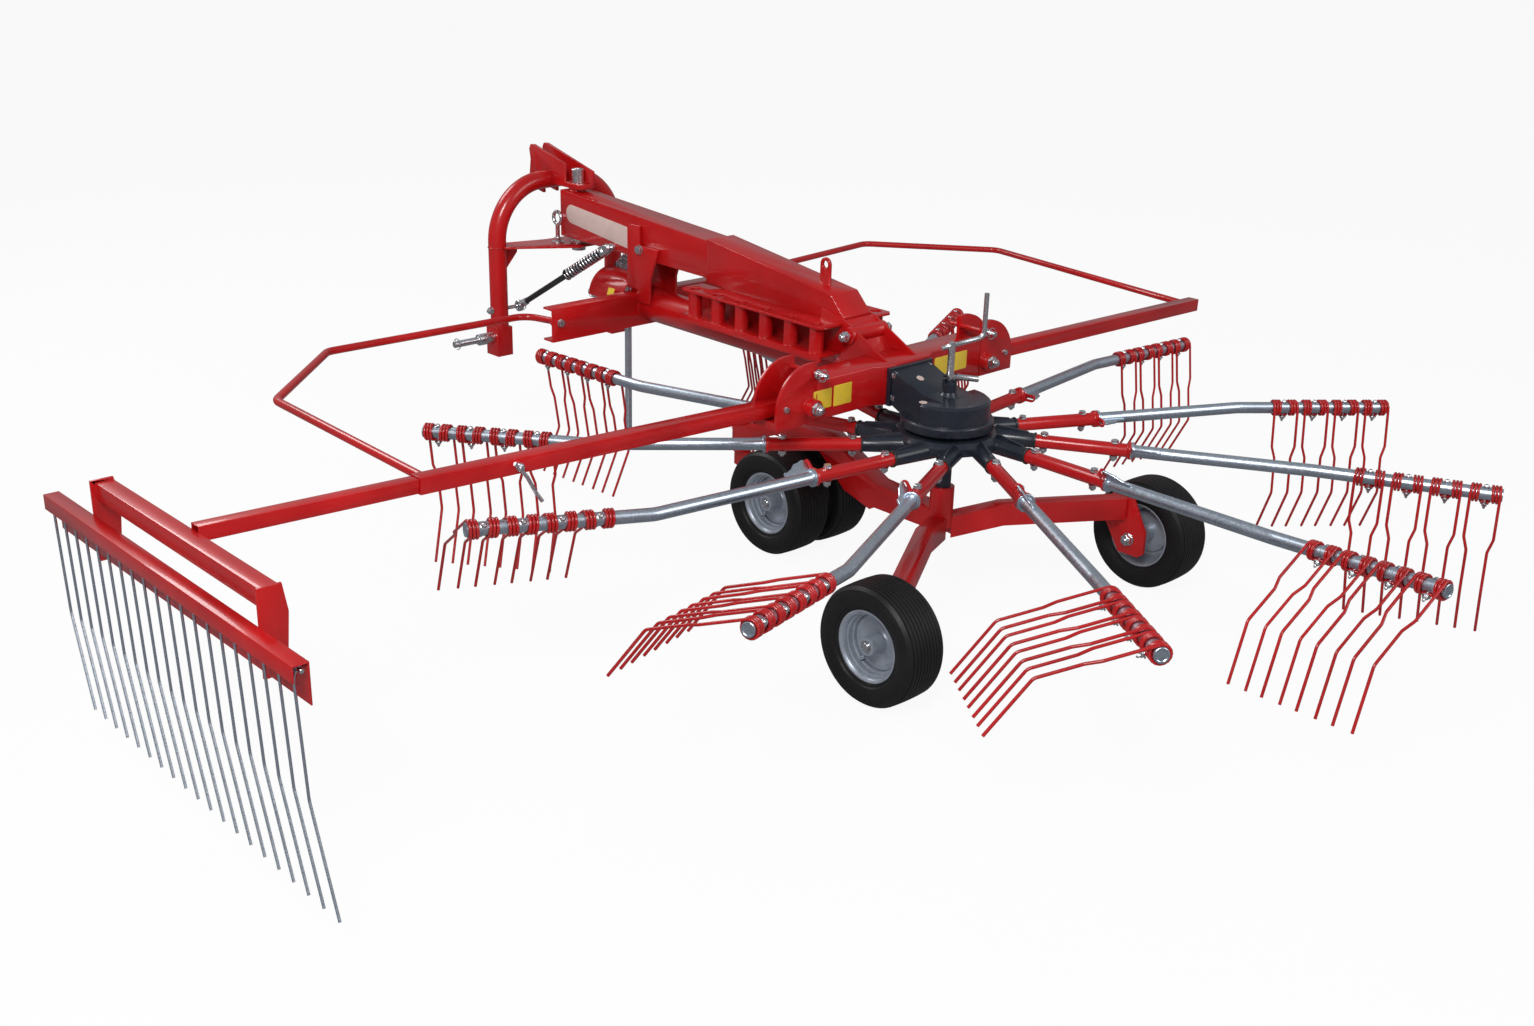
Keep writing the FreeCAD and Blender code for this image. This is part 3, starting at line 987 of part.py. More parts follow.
def guard_hoop(side, rise, route):
    """Bent round guard from the channel bolt to the outer end of the side arm."""
    points = [arm_point(side, rise, y, x) for x, y in route]
    points[-1] = arm_point(side, rise, route[-1][1], SIDE_ARM_AT + SIDE_TUBE / 2)
    hoop = bent_bar(points, HOOP_DIAMETER / 2, HOOP_CORNER)
    eye = bar(vec(HOOP_BOLT_AT - HOOP_DIAMETER / 2, side * FOLD_SIDE, FOLD_HEIGHT),
              vec(HOOP_BOLT_AT + HOOP_DIAMETER / 2, side * FOLD_SIDE, FOLD_HEIGHT), HOOP_DIAMETER * 0.8)
    return fuse([hoop, eye]).cut(side_arm(side, rise))


def curtain_frame():
    """Inner tube, crossbar and the two plates that carry the curtain rail."""
    start = arm_point(1, LEFT_RISE, CURTAIN_TUBE_END - 625.0 - CURTAIN_OVERLAP, SIDE_ARM_AT)
    end = arm_point(1, LEFT_RISE, CURTAIN_TUBE_END, SIDE_ARM_AT)
    tube = square_tube(start, end, CURTAIN_TUBE, SIDE_TUBE_WALL)
    centre = arm_point(1, LEFT_RISE, CURTAIN_TUBE_END + CURTAIN_CROSSBAR / 2, SIDE_ARM_AT + CURTAIN_AHEAD,
                       -CURTAIN_BAR_DROP)
    half = CURTAIN_CROSSBAR / 2
    reach = CURTAIN_CROSSBAR_LENGTH / 2
    bar_box = block(centre.x - reach, centre.x + reach, centre.y - half, centre.y + half,
                    centre.z - half, centre.z + half)
    inside = block(centre.x - reach, centre.x + reach, centre.y - half + SIDE_TUBE_WALL,
                   centre.y + half - SIDE_TUBE_WALL, centre.z - half + SIDE_TUBE_WALL,
                   centre.z + half - SIDE_TUBE_WALL)
    shapes = [tube, bar_box.cut(inside)]
    low = CURTAIN_PLATE_BOTTOM
    high = centre.z + half + SHEET
    out = centre.y + half
    for end_side in (-1, 1):
        x0 = centre.x + end_side * reach
        x1 = x0 + end_side * SHEET
        outline = [(centre.y - half, high), (out + 14, high), (out + 14, low), (out - 48, low),
                   (centre.y - half - 12, high - 3 * half)]
        shapes.append(cross_plate(outline, min(x0, x1), max(x0, x1)))
    return fuse(shapes), centre


def curtain_rail(centre):
    """Folded rail: a square channel with a deep back flange."""
    out = centre.y + CURTAIN_CROSSBAR / 2 + 14
    top = CURTAIN_RAIL_TOP
    reach = CURTAIN_RAIL_LENGTH / 2
    wall = SHEET / 2
    x0, x1 = centre.x - reach, centre.x + reach
    back = block(x0, x1, out, out + wall, top - CURTAIN_RAIL - CURTAIN_RAIL_DROP, top)
    roof = block(x0, x1, out, out + CURTAIN_RAIL, top - wall, top)
    front = block(x0, x1, out + CURTAIN_RAIL - wall, out + CURTAIN_RAIL, top - CURTAIN_RAIL, top)
    return fuse([back, roof, front]), out, top


def curtain_wires(centre, out, top):
    """Spring wires of the curtain, hooked over a rod in the rail."""
    radius = CURTAIN_WIRE / 2
    seat = SHEET / 2 + TOUCH + CURTAIN_ROD / 2
    y = out + seat
    z = top - seat
    pitch = (CURTAIN_RAIL_LENGTH - 50.0) / (CURTAIN_WIRES - 1)
    first = centre.x - (CURTAIN_RAIL_LENGTH - 50.0) / 2
    rod = bar(vec(centre.x - CURTAIN_RAIL_LENGTH / 2, y, z), vec(centre.x + CURTAIN_RAIL_LENGTH / 2, y, z),
              CURTAIN_ROD / 2)
    bend = math.radians(CURTAIN_KNEE_ANGLE)
    shapes = [rod]
    for i in range(CURTAIN_WIRES):
        x = first + i * pitch
        top_point = vec(x, y, z)
        knee = top_point + vec(-CURTAIN_LEAN, 10, -CURTAIN_KNEE)
        tip = knee + vec(-CURTAIN_LOWER * math.sin(bend), 25, -CURTAIN_LOWER * math.cos(bend))
        shapes.append(bent_bar([top_point, knee, tip], radius, 40.0))
    return fuse(shapes)


# ---------------------------------------------------------------- headstock and struts
def headstock_arch():
    """Bent tube arch that carries the hitch pins."""
    half = ARCH_LEG_SIDE
    shoulder = ARCH_TOP
    points = [vec(ARCH_AT, -half, ARCH_BOTTOM), vec(ARCH_AT, -half, shoulder), vec(ARCH_AT, half, shoulder),
              vec(ARCH_AT, half, ARCH_BOTTOM)]
    arch = bent_bar(points, ARCH_DIAMETER / 2, ARCH_RADIUS)
    feet = []
    for side in (-1, 1):
        feet.append(block(ARCH_AT - ARCH_DIAMETER / 2, ARCH_AT + ARCH_DIAMETER / 2 + SHEET,
                          side * half - ARCH_DIAMETER / 2, side * half + ARCH_DIAMETER / 2,
                          ARCH_BOTTOM - 8, HITCH_PIN_HEIGHT + 44))
    return fuse([arch] + feet)


def headstock_plates():
    """Top link plates and the upper fork plate of the swing pivot, in one welded piece."""
    gap = TOP_PLATE_GAP / 2
    link = HITCH_PIN_HEIGHT + MAST_HEIGHT
    fork_low = BEAM_FRONT_TOP + SHEET + TOUCH
    outline = [(SWING_AT - 58, fork_low), (SWING_AT - 62, fork_low + 70), (TOP_PLATE_TIP - 30, link + 152),
               (TOP_PLATE_TIP - 8, link + 150), (TOP_PLATE_TIP + 2, link + 132), (TOP_PLATE_TIP - 6, link + 90),
               (TOP_PLATE_TIP + 4, link + 20), (TOP_PLATE_TIP - 10, link - 26), (ARCH_AT + 30, link - 40),
               (ARCH_AT + 30, fork_low)]
    fork = block(SWING_AT - 62, SWING_AT + 62, -gap, gap, fork_low, fork_low + 20)
    pin_room = block(SWING_AT - BEAM_WIDTH, SWING_AT + SWING_PIN_DIAMETER, gap - SHEET, gap + 2 * THICK_SHEET,
                     fork_low + 20, link + BEAM_WIDTH)
    near = side_plate(outline, gap, gap + THICK_SHEET).cut(pin_room)
    plates = [near, side_plate(outline, -gap - THICK_SHEET, -gap)]
    whole = fuse(plates + [fork])
    arch = bar(vec(ARCH_AT, -ARCH_LEG_SIDE, ARCH_TOP), vec(ARCH_AT, ARCH_LEG_SIDE, ARCH_TOP), ARCH_DIAMETER / 2)
    link_hole = bar(vec(TOP_LINK_AT, -100, link), vec(TOP_LINK_AT, 100, link), TOP_LINK_PIN_DIAMETER / 2 + 0.4)
    pin_way = bar(vec(SWING_AT, 0, fork_low - 5), vec(SWING_AT, 0, fork_low + 40), SWING_PIN_DIAMETER / 2)
    return whole.cut(arch).cut(link_hole).cut(pin_way)


def headstock_lower():
    """Lower fork plate of the swing pivot with its gussets on the arch legs."""
    top = LOWER_PLATE_HEIGHT
    side = ARCH_LEG_SIDE
    front = ARCH_AT + LOWER_PLATE_FRONT
    back = ARCH_AT - LOWER_PLATE_REAR
    nose, nose_side = LOWER_PLATE_NOSE
    edge, notch, notch_side = LOWER_PLATE_NOTCH
    outline = [(SWING_AT - nose, -nose_side), (SWING_AT - nose, nose_side), (back, side), (front, side),
               (front, side - edge), (ARCH_AT - notch, notch_side), (ARCH_AT - notch, -notch_side),
               (front, -side + edge), (front, -side), (back, -side)]
    plate = flat_plate(outline, top - SHEET, top)
    gussets = []
    inner = side - GUSSET_WIDTH
    taper, lip = GUSSET_LIP
    for s in (-1, 1):
        gussets.append(cross_plate([(s * side, top - SHEET), (s * inner, top - SHEET),
                                    (s * (inner + taper), top - lip), (s * side, top - GUSSET_DEPTH)],
                                   ARCH_AT - SHEET / 2, ARCH_AT + SHEET / 2))
    legs = [bar(vec(ARCH_AT, s * side, ARCH_BOTTOM), vec(ARCH_AT, s * side, ARCH_TOP), ARCH_DIAMETER / 2)
            for s in (-1, 1)]
    pin_way = bar(vec(SWING_AT, 0, top - 2 * SHEET), vec(SWING_AT, 0, top + SHEET), SWING_PIN_DIAMETER / 2)
    return fuse([plate] + gussets).cut(together(legs)).cut(pin_way)


def headstock_pins():
    """Swing pin and lower hitch pins."""
    fork_top = BEAM_FRONT_TOP + SHEET + TOUCH + 20
    swing = bar(vec(SWING_AT, 0, LOWER_PLATE_HEIGHT - SHEET - 22), vec(SWING_AT, 0, fork_top + 46),
                SWING_PIN_DIAMETER / 2)
    nut = bar(vec(SWING_AT, 0, LOWER_PLATE_HEIGHT - SHEET - 22), vec(SWING_AT, 0, LOWER_PLATE_HEIGHT - SHEET),
              SWING_PIN_DIAMETER * 0.8)
    spacer = pipe(vec(SWING_AT, 0, LOWER_PLATE_HEIGHT), vec(SWING_AT, 0, BEAM_FRONT_BOTTOM - SHEET - TOUCH),
                  SWING_PIN_DIAMETER, SWING_PIN_DIAMETER / 2)
    shapes = [fuse([swing, nut, spacer])]
    inner = ARCH_LEG_SIDE + ARCH_DIAMETER / 2
    for side in (-1, 1):
        shoulder = bar(vec(ARCH_AT, side * inner, HITCH_PIN_HEIGHT),
                       vec(ARCH_AT, side * HITCH_SHOULDER, HITCH_PIN_HEIGHT), HITCH_PIN_DIAMETER * 0.85)
        pin = bar(vec(ARCH_AT, side * inner, HITCH_PIN_HEIGHT),
                  vec(ARCH_AT, side * HITCH_PIN_END, HITCH_PIN_HEIGHT), HITCH_PIN_DIAMETER / 2)
        shapes.append(fuse([shoulder, pin]))
    return together(shapes)


def strut_ends(side):
    bracket = vec(STRUT_BRACKET_AT, side * STRUT_BRACKET_SIDE, STRUT_BRACKET_HEIGHT)
    eye = vec(ARCH_AT, side * STRUT_EYE_SIDE, STRUT_EYE_HEIGHT)
    return bracket, eye


def strut_brackets():
    """Pins on the beam's sides that the centring struts hang from."""
    shapes = []
    for side in (-1, 1):
        bracket, eye = strut_ends(side)
        shapes.append(bar(vec(bracket.x, side * BEAM_WIDTH / 2, bracket.z),
                          vec(bracket.x, side * (STRUT_BRACKET_SIDE - STRUT_BALL_RADIUS - TOUCH), bracket.z),
                          STRUT_BALL_RADIUS * 0.8))
    return together(shapes)


def strut_guide(side):
    """Spring housing of one strut: ball end, neck and coil spring."""
    bracket, eye = strut_ends(side)
    run = (eye - bracket).normalize()
    ball = Part.makeSphere(STRUT_BALL_RADIUS, bracket)
    neck = STRUT_SPRING_RADIUS * 0.5
    spring_from = 1.6 * STRUT_SPRING_RADIUS
    profile = [(0, 0), (neck, 0), (neck, spring_from)]
    pitch = (STRUT_GUIDE_LENGTH - spring_from) / STRUT_SPRING_TURNS
    for i in range(STRUT_SPRING_TURNS):
        start = spring_from + i * pitch
        profile += [(STRUT_SPRING_RADIUS - 3, start), (STRUT_SPRING_RADIUS, start + pitch * 0.3),
                    (STRUT_SPRING_RADIUS, start + pitch * 0.7), (STRUT_SPRING_RADIUS - 3, start + pitch * 0.98)]
    profile += [(STRUT_SPRING_RADIUS - 3, STRUT_GUIDE_LENGTH), (STRUT_ROD_DIAMETER / 2 + TOUCH, STRUT_GUIDE_LENGTH),
                (STRUT_ROD_DIAMETER / 2 + TOUCH, 3 * STRUT_SPRING_RADIUS), (0, 3 * STRUT_SPRING_RADIUS)]
    return fuse([turned(profile, bracket, run), ball])


def strut_rod(side):
    """Rod of one strut with its eye at the headstock bolt."""
    bracket, eye = strut_ends(side)
    run = (eye - bracket).normalize()
    rod = bar(bracket + run * 130, eye - run * 18, STRUT_ROD_DIAMETER / 2)
    ring = bar(eye - Y_AXIS * 9, eye + Y_AXIS * 9, 24)
    hole = bar(eye - Y_AXIS * 30, eye + Y_AXIS * 30, STRUT_BOLT_DIAMETER / 2 + 3)
    return fuse([rod, ring]).cut(hole)


def strut_bolts():
    """Bolts through the arch legs that the strut eyes sit on."""
    shapes = []
    for side in (-1, 1):
        leg = ARCH_LEG_SIDE - ARCH_DIAMETER / 2
        inner = bar(vec(ARCH_AT, side * (STRUT_EYE_SIDE - 22), STRUT_EYE_HEIGHT),
                    vec(ARCH_AT, side * (leg + 5), STRUT_EYE_HEIGHT), STRUT_BOLT_DIAMETER / 2 - 2)
        tube = bar(vec(ARCH_AT, side * ARCH_LEG_SIDE, ARCH_BOTTOM), vec(ARCH_AT, side * ARCH_LEG_SIDE, ARCH_TOP),
                   ARCH_DIAMETER / 2)
        shapes.append(inner.cut(tube))
    return together(shapes)


# ---------------------------------------------------------------- the part
def build():
    """All sub-parts by node name, still measured from the rotor axis."""
    nodes = {
        "main_tube": main_tube(),
        "cross_channel": cross_channel(),
        "top_beam": top_beam(),
        "front_upright": front_upright(),
        "rear_bracket": rear_bracket(),
        "crossbeam": crossbeam(),
        "fold_plates_left": fold_plates(),
        "fold_plates_right": mirrored(fold_plates()),
        "arm_rack_left": arm_rack(),
        "arm_rack_right": mirrored(arm_rack()),
        "pto_shaft": pto_shaft(),
        "pto_guard": pto_guard(),
        "stand_sleeve": stand_sleeve(),
        "parking_stand": stand_leg(),
        "gearbox": gearbox(),
        "height_crank": crank(),
        "column": column(),
        "front_beam": front_beam(),
        "rear_arm_left": rear_arm(),
        "rear_arm_right": mirrored(rear_arm()),
        "strut_brackets": strut_brackets(),
        "castor_yoke": castor_yoke(),
        "tyre_rear_left": tyre(REAR_AXLE_AT, REAR_WHEEL_SIDE),
        "tyre_rear_right": tyre(REAR_AXLE_AT, -REAR_WHEEL_SIDE),
        "tyres_front": together([tyre(FRONT_AXLE_AT, side * FRONT_WHEEL_SIDE) for side in (-1, 1)]),
        "rim_rear_left": rim(REAR_AXLE_AT, REAR_WHEEL_SIDE, 1),
        "rim_rear_right": rim(REAR_AXLE_AT, -REAR_WHEEL_SIDE, -1),
        "rims_front": together([rim(FRONT_AXLE_AT, side * FRONT_WHEEL_SIDE, side) for side in (-1, 1)]),
        "rotor_hub": rotor_hub(),
        "arm_sleeves": together([arm_sleeve(n) for n in range(ARM_COUNT)]),
        "side_arm_left": side_arm(1, LEFT_RISE),
        "side_arm_right": side_arm(-1, RIGHT_RISE),
        "guard_hoop_left": guard_hoop(1, LEFT_RISE, LEFT_HOOP),
        "guard_hoop_right": guard_hoop(-1, RIGHT_RISE, RIGHT_HOOP),
        "headstock_arch": headstock_arch(),
        "headstock_plates": headstock_plates(),
        "headstock_lower": headstock_lower(),
        "headstock_pins": headstock_pins(),
        "strut_bolts": strut_bolts(),
        "strut_guide_left": strut_guide(1),
        "strut_guide_right": strut_guide(-1),
        "strut_rod_left": strut_rod(1),
        "strut_rod_right": strut_rod(-1),
    }
    for number in range(ARM_COUNT):
        nodes["tine_arm_%02d" % (number + 1)] = tine_arm(number)
    frame, centre = curtain_frame()
    rail, out, top = curtain_rail(centre)
    nodes["curtain_frame"] = frame
    nodes["curtain_rail"] = rail
    nodes["curtain_wires"] = curtain_wires(centre, out, top)
    return nodes


os.makedirs("parts", exist_ok=True)
shift = vec(-ORIGIN_AHEAD_OF_ROTOR, -ORIGIN_LEFT_OF_ROTOR, 0)
for name, shape in build().items():
    shape.translate(shift)
    shape.exportStep("parts/" + name + ".step")
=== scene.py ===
# %% [markdown]
# A single rotor hay rake, dressed for rendering.
# The packed CAD model gives every part its true size and place, and this script adds what the eye expects:
# rounded sheet edges, wound tines, bolts, springs, tyres with ribs, and paint that is more than one colour.
# Start by loading the model and keeping the box it fills, so that what is added later can be measured against it.

# %% Load the packed model
import math

import bmesh
import bpy
from mathutils import Matrix, Vector, noise


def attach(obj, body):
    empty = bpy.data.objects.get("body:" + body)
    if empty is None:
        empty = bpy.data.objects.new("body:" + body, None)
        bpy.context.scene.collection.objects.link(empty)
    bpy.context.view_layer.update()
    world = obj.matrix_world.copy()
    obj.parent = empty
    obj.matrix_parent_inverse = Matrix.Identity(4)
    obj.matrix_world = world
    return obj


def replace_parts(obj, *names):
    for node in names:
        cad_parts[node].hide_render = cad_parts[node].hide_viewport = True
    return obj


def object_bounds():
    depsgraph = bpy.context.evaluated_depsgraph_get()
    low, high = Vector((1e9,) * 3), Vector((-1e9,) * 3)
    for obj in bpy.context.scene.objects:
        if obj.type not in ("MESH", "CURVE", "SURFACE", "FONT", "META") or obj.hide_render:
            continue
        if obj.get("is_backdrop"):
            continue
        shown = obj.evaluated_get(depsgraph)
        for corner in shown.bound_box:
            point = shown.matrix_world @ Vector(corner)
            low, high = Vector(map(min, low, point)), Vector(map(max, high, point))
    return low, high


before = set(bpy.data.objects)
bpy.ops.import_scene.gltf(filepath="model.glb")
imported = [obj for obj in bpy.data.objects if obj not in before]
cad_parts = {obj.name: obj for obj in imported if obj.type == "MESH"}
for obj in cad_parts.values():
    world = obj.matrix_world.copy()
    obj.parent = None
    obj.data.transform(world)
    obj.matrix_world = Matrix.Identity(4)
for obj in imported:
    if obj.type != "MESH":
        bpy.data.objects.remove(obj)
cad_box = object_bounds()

# %% [markdown]
# The machine was drawn in millimetres from the rotor axis, and Blender works in metres from the model's origin.
# One function turns the first into the second, so every place below can be read as a dimension on a drawing.
# X points forwards to the tractor, Y to the machine's left and Z up.

# %% Places and directions
MM = 0.001
ORIGIN = Vector((-276.0, -287.0, 0.0))     # the rotor axis on the ground, in mm
X, Y, Z = Vector((1, 0, 0)), Vector((0, 1, 0)), Vector((0, 0, 1))
SIDES = (-1, 1)                            # the machine's right and its left


def spot(x, y, z):
    """A place given from the rotor axis, in mm, from the model's origin."""
    return ORIGIN + Vector((x, y, z))


def at(x, y, z):
    """The same place in metres, as a point of the scene."""
    return spot(x, y, z) * MM


print("rotor axis in metres:", tuple(round(n, 3) for n in at(0, 0, 0)))

# %% [markdown]
# Every finish on this machine is a mix of a few noises, and shader maths reads badly as boxes and wires.
# So one small class wraps an output socket: adding or multiplying two wrapped sockets makes the Math node for us,
# and so does a sum that starts with a number. The same could be built by hand, one node and link at a time.

# %% A socket that can be used in sums
class Wire:
    """An output socket of a node."""

    def __init__(self, paint, socket):
        self.paint = paint
        self.socket = socket

    def maths(self, operation, first, second, clamp=False):
        return self.paint.node("ShaderNodeMath", {"operation": operation, "use_clamp": clamp}, {0: first, 1: second})

    def __add__(self, other):
        return self.maths("ADD", self, other)

    def __radd__(self, other):
        return self.maths("ADD", other, self)

    def __sub__(self, other):
        return self.maths("SUBTRACT", self, other)

    def __rsub__(self, other):
        return self.maths("SUBTRACT", other, self)

    def __mul__(self, other):
        return self.maths("MULTIPLY", self, other)

    def clamped(self):
        return self.maths("ADD", self, 0.0, True)


def colour(r, g, b):
    return (r, g, b, 1.0)


print("sums that a wire can be used in:", sum(name in vars(Wire) for name in ("__add__", "__sub__", "__mul__")))

# %% [markdown]
# A paint on steel is a colour, a gloss and a fine relief, and each of them varies over the surface.
# This class holds a material under construction. Every node comes from one method, which sets the node's options
# before its inputs, and the methods after it are the few steps that all the finishes share.

# %% A material under construction
class Paint:
    """A material under construction, or a world, whose shader is its background."""

    def __init__(self, name, world=None):
        self.material = world or bpy.data.materials.new(name)
        self.material.use_nodes = True
        self.tree = self.material.node_tree
        self.shader = self.tree.nodes["Background" if world else "Principled BSDF"]

    def node(self, kind, settings=None, inputs=None, output=0):
        made = self.tree.nodes.new(kind)
        for key, value in (settings or {}).items():
            setattr(made, key, value)
        for key, value in (inputs or {}).items():
            self.feed(made.inputs[key], value)
        return Wire(self, made.outputs[output])

    def feed(self, socket, value):
        if isinstance(value, Wire):
            self.tree.links.new(value.socket, socket)
        else:
            socket.default_value = value

    def set(self, **values):
        """Feeds the shader's sockets; underscores in the names stand for spaces."""
        for key, value in values.items():
            self.feed(self.shader.inputs[key.replace("_", " ")], value)

    def place(self):
        return self.node("ShaderNodeTexCoord", output="Object")

    def noise(self, scale, detail=3.0, rough=0.55, stretch=None):
        where = self.place()
        if stretch:
            where = self.node("ShaderNodeMapping", {}, {"Vector": where, "Scale": stretch})
        return self.node("ShaderNodeTexNoise", {}, {"Vector": where, "Scale": scale, "Detail": detail,
                                                    "Roughness": rough})

    def ramp(self, value, low, high):
        """Maps a number to another number between two stops (place, level)."""
        made = self.node("ShaderNodeValToRGB", {}, {"Fac": value})
        for element, (place, level) in zip(made.socket.node.color_ramp.elements, (low, high)):
            element.position = place
            element.color = colour(level, level, level)
        return made

    def blend(self, mask, first, second):
        """Mixes two colours by a mask."""
        return self.node("ShaderNodeMix", {"data_type": "RGBA"}, {0: mask, 6: first, 7: second}, output=2)

    def bump(self, height, strength, distance, under=None):
        inputs = {"Height": height, "Strength": strength, "Distance": distance}
        if under:
            inputs["Normal"] = under
        return self.node("ShaderNodeBump", {}, inputs)

    def overlay(self, mask, glow, output):
        """Shows the glow in place of the shader where the mask is 1."""
        shade = Wire(self, self.shader.outputs[0])
        self.feed(self.tree.nodes[output].inputs["Surface"],
                  self.node("ShaderNodeMixShader", {}, {0: mask, 1: shade, 2: glow}))


print("steps that a finish can use:", ", ".join(name for name in vars(Paint) if not name.startswith("_")))

# %% [markdown]
# Gloss enamel on welded steel is never quite even.
# The colour drifts a little over hand-widths, the surface has a fine orange peel that breaks up reflections,
# and dust settles in soft patches, which also dull the gloss. A clear coat carries the sharp highlights.

# %% Red gloss paint
def red_paint(name, deep, bright, dust_amount, peel):
    paint = Paint(name)
    drift = paint.noise(3.5, 2.0)
    patches = paint.ramp(paint.noise(9.0, 5.0, 0.6), (0.52, 0.0), (0.78, dust_amount))
    dust = patches * paint.ramp(paint.noise(160.0, 2.0), (0.35, 0.4), (0.65, 1.0))
    body = paint.blend(paint.ramp(drift, (0.3, 0.0), (0.7, 1.0)), deep, bright)
    waves = paint.bump(paint.noise(38.0, 2.0), 0.10, 0.0012)
    paint.set(Base_Color=paint.blend(dust, body, colour(0.30, 0.10, 0.08)),
              Roughness=0.26 + drift * 0.1 + dust * 0.5,
              Coat_Weight=0.5 - dust * 0.5,
              Coat_Roughness=0.08,
              Specular_IOR_Level=0.3,
              Normal=paint.bump(paint.noise(430.0, 1.0), peel, 0.0004, waves))
    return paint.material


frame_red = red_paint("frame_red", colour(0.38, 0.003, 0.004), colour(0.52, 0.006, 0.007), 0.12, 0.10)
tine_red = red_paint("tine_red", colour(0.34, 0.004, 0.005), colour(0.46, 0.008, 0.009), 0.2, 0.16)
print("reds:", frame_red.name, tine_red.name)

# %% [markdown]
# Hot dip galvanising freezes into flat crystals, the spangle, each with its own brightness and gloss.
# A Voronoi texture gives every crystal one random value, noise adds the run marks left by the bath,
# and both change roughness more than colour, which is what makes the pattern flash as the view changes.

# %% Galvanised and plated steel
def zinc_skin(name, dark, light, spangle, roughness, streaks):
    paint = Paint(name)
    crystals = paint.node("ShaderNodeTexVoronoi", {}, {"Vector": paint.place(), "Scale": spangle}, output="Color")
    facet = paint.node("ShaderNodeSeparateColor", {}, {"Color": crystals})
    bath = paint.noise(streaks, 5.0, 0.65)
    grain = paint.noise(300.0, 2.0)
    tone = paint.ramp(facet * 0.35 + bath * 0.65, (0.2, 0.0), (0.8, 1.0))
    paint.set(Base_Color=paint.blend(tone, dark, light),
              Metallic=1.0,
              Roughness=roughness + facet * 0.08 + bath * 0.12 - 0.08,
              Normal=paint.bump(grain + facet * 0.2, 0.08, 0.0003))
    return paint.material


galvanised = zinc_skin("galvanised_steel", colour(0.48, 0.56, 0.65), colour(0.70, 0.77, 0.86), 190.0, 0.31, 5.0)
bright_zinc = zinc_skin("bright_zinc", colour(0.58, 0.60, 0.63), colour(0.84, 0.86, 0.88), 320.0, 0.26, 14.0)
wire_steel = zinc_skin("curtain_wire_steel", colour(0.50, 0.57, 0.66), colour(0.70, 0.77, 0.86), 420.0, 0.27, 9.0)
print("bare metals:", galvanised.name, bright_zinc.name, wire_steel.name)

# %% [markdown]
# The gearbox and hub are rough sand castings under thick blue-black paint.
# Two noises at different scales give the cast skin, the paint fills it so the bump stays soft,
# and a thin brown haze of dust keeps the black from looking like a hole in the picture.

# %% Painted castings and dark plastic
def cast_paint(name, body, haze, grain, gloss):
    paint = Paint(name)
    sand = paint.noise(grain, 4.0, 0.6)
    lumps = paint.bump(paint.noise(32.0, 3.0), 0.2, 0.002)
    dust = paint.ramp(paint.noise(6.0, 6.0, 0.65), (0.45, 0.0), (0.8, 0.55))
    paint.set(Base_Color=paint.blend(dust, body, haze),
              Roughness=gloss + sand * 0.12 + dust * 0.35,
              Coat_Weight=0.4 - dust * 0.4,
              Coat_Roughness=0.16,
              Specular_IOR_Level=0.35,
              Normal=paint.bump(sand, 0.28, 0.0008, lumps))
    return paint.material


casting_black = cast_paint("casting_black", colour(0.010, 0.014, 0.024), colour(0.05, 0.052, 0.06), 210.0, 0.26)
dark_plastic = cast_paint("dark_plastic", colour(0.016, 0.016, 0.018), colour(0.05, 0.05, 0.05), 420.0, 0.42)
print("blacks:", casting_black.name, dark_plastic.name)

# %% [markdown]
# A tyre is matt, but not evenly: mould skin is smooth on the walls, scuffed on the ribs, and grey with dust low down.
# The scuffs come from noise that is stretched along the wheel's axle, so they run across the tread as real ones do.

# %% Tyre rubber
def tyre_rubber():
    paint = Paint("tyre_rubber")
    scuff = paint.noise(90.0, 5.0, 0.7, stretch=(1.0, 0.25, 1.0))
    dust = paint.ramp(paint.noise(11.0, 5.0, 0.6), (0.46, 0.0), (0.8, 0.35))
    pores = paint.noise(520.0, 2.0)
    worn = dust * 0.4 + scuff * 0.08
    paint.set(Base_Color=paint.blend(worn, colour(0.007, 0.007, 0.008), colour(0.045, 0.043, 0.040)),
              Roughness=0.36 + scuff * 0.18 + dust * 0.2,
              Specular_IOR_Level=0.3,
              Normal=paint.bump(pores + scuff * 1.5, 0.22, 0.0006))
    return paint.material


tyre_black = tyre_rubber()
print("rubber:", tyre_black.name)

# %% [markdown]
# Rims carry a silver paint with metal flake, so they are half metallic and slightly grimy in patches.
# The labels are thin film, left blank: a faded face with fine scratches, which are noise squeezed upright.

# %% Rim paint and blank film
def rim_paint():
    paint = Paint("rim_silver")
    flake = paint.noise(900.0, 1.0)
    silver = paint.blend(paint.noise(12.0, 4.0), colour(0.32, 0.36, 0.42), colour(0.48, 0.53, 0.60))
    grime = paint.ramp(paint.noise(20.0, 6.0, 0.7), (0.5, 0.0), (0.8, 0.7))
    paint.set(Base_Color=paint.blend(grime, silver, colour(0.16, 0.15, 0.14)),
              Metallic=0.55,
              Roughness=0.34 + flake * 0.08 + grime * 0.3,
              Coat_Weight=0.3,
              Normal=paint.bump(flake, 0.06, 0.0003))
    return paint.material


def blank_film(name, face, worn):
    paint = Paint(name)
    fade = paint.noise(26.0, 4.0)
    scratches = paint.ramp(paint.noise(120.0, 4.0, 0.7, stretch=(1.0, 1.0, 6.0)), (0.66, 0.0), (0.74, 0.5))
    paint.set(Base_Color=paint.blend(paint.ramp(fade, (0.3, 0.0), (0.8, 0.5)) + scratches, face, worn),
              Roughness=0.35 + fade * 0.2,
              Coat_Weight=0.25,
              Normal=paint.bump(fade, 0.08, 0.0004))
    return paint.material


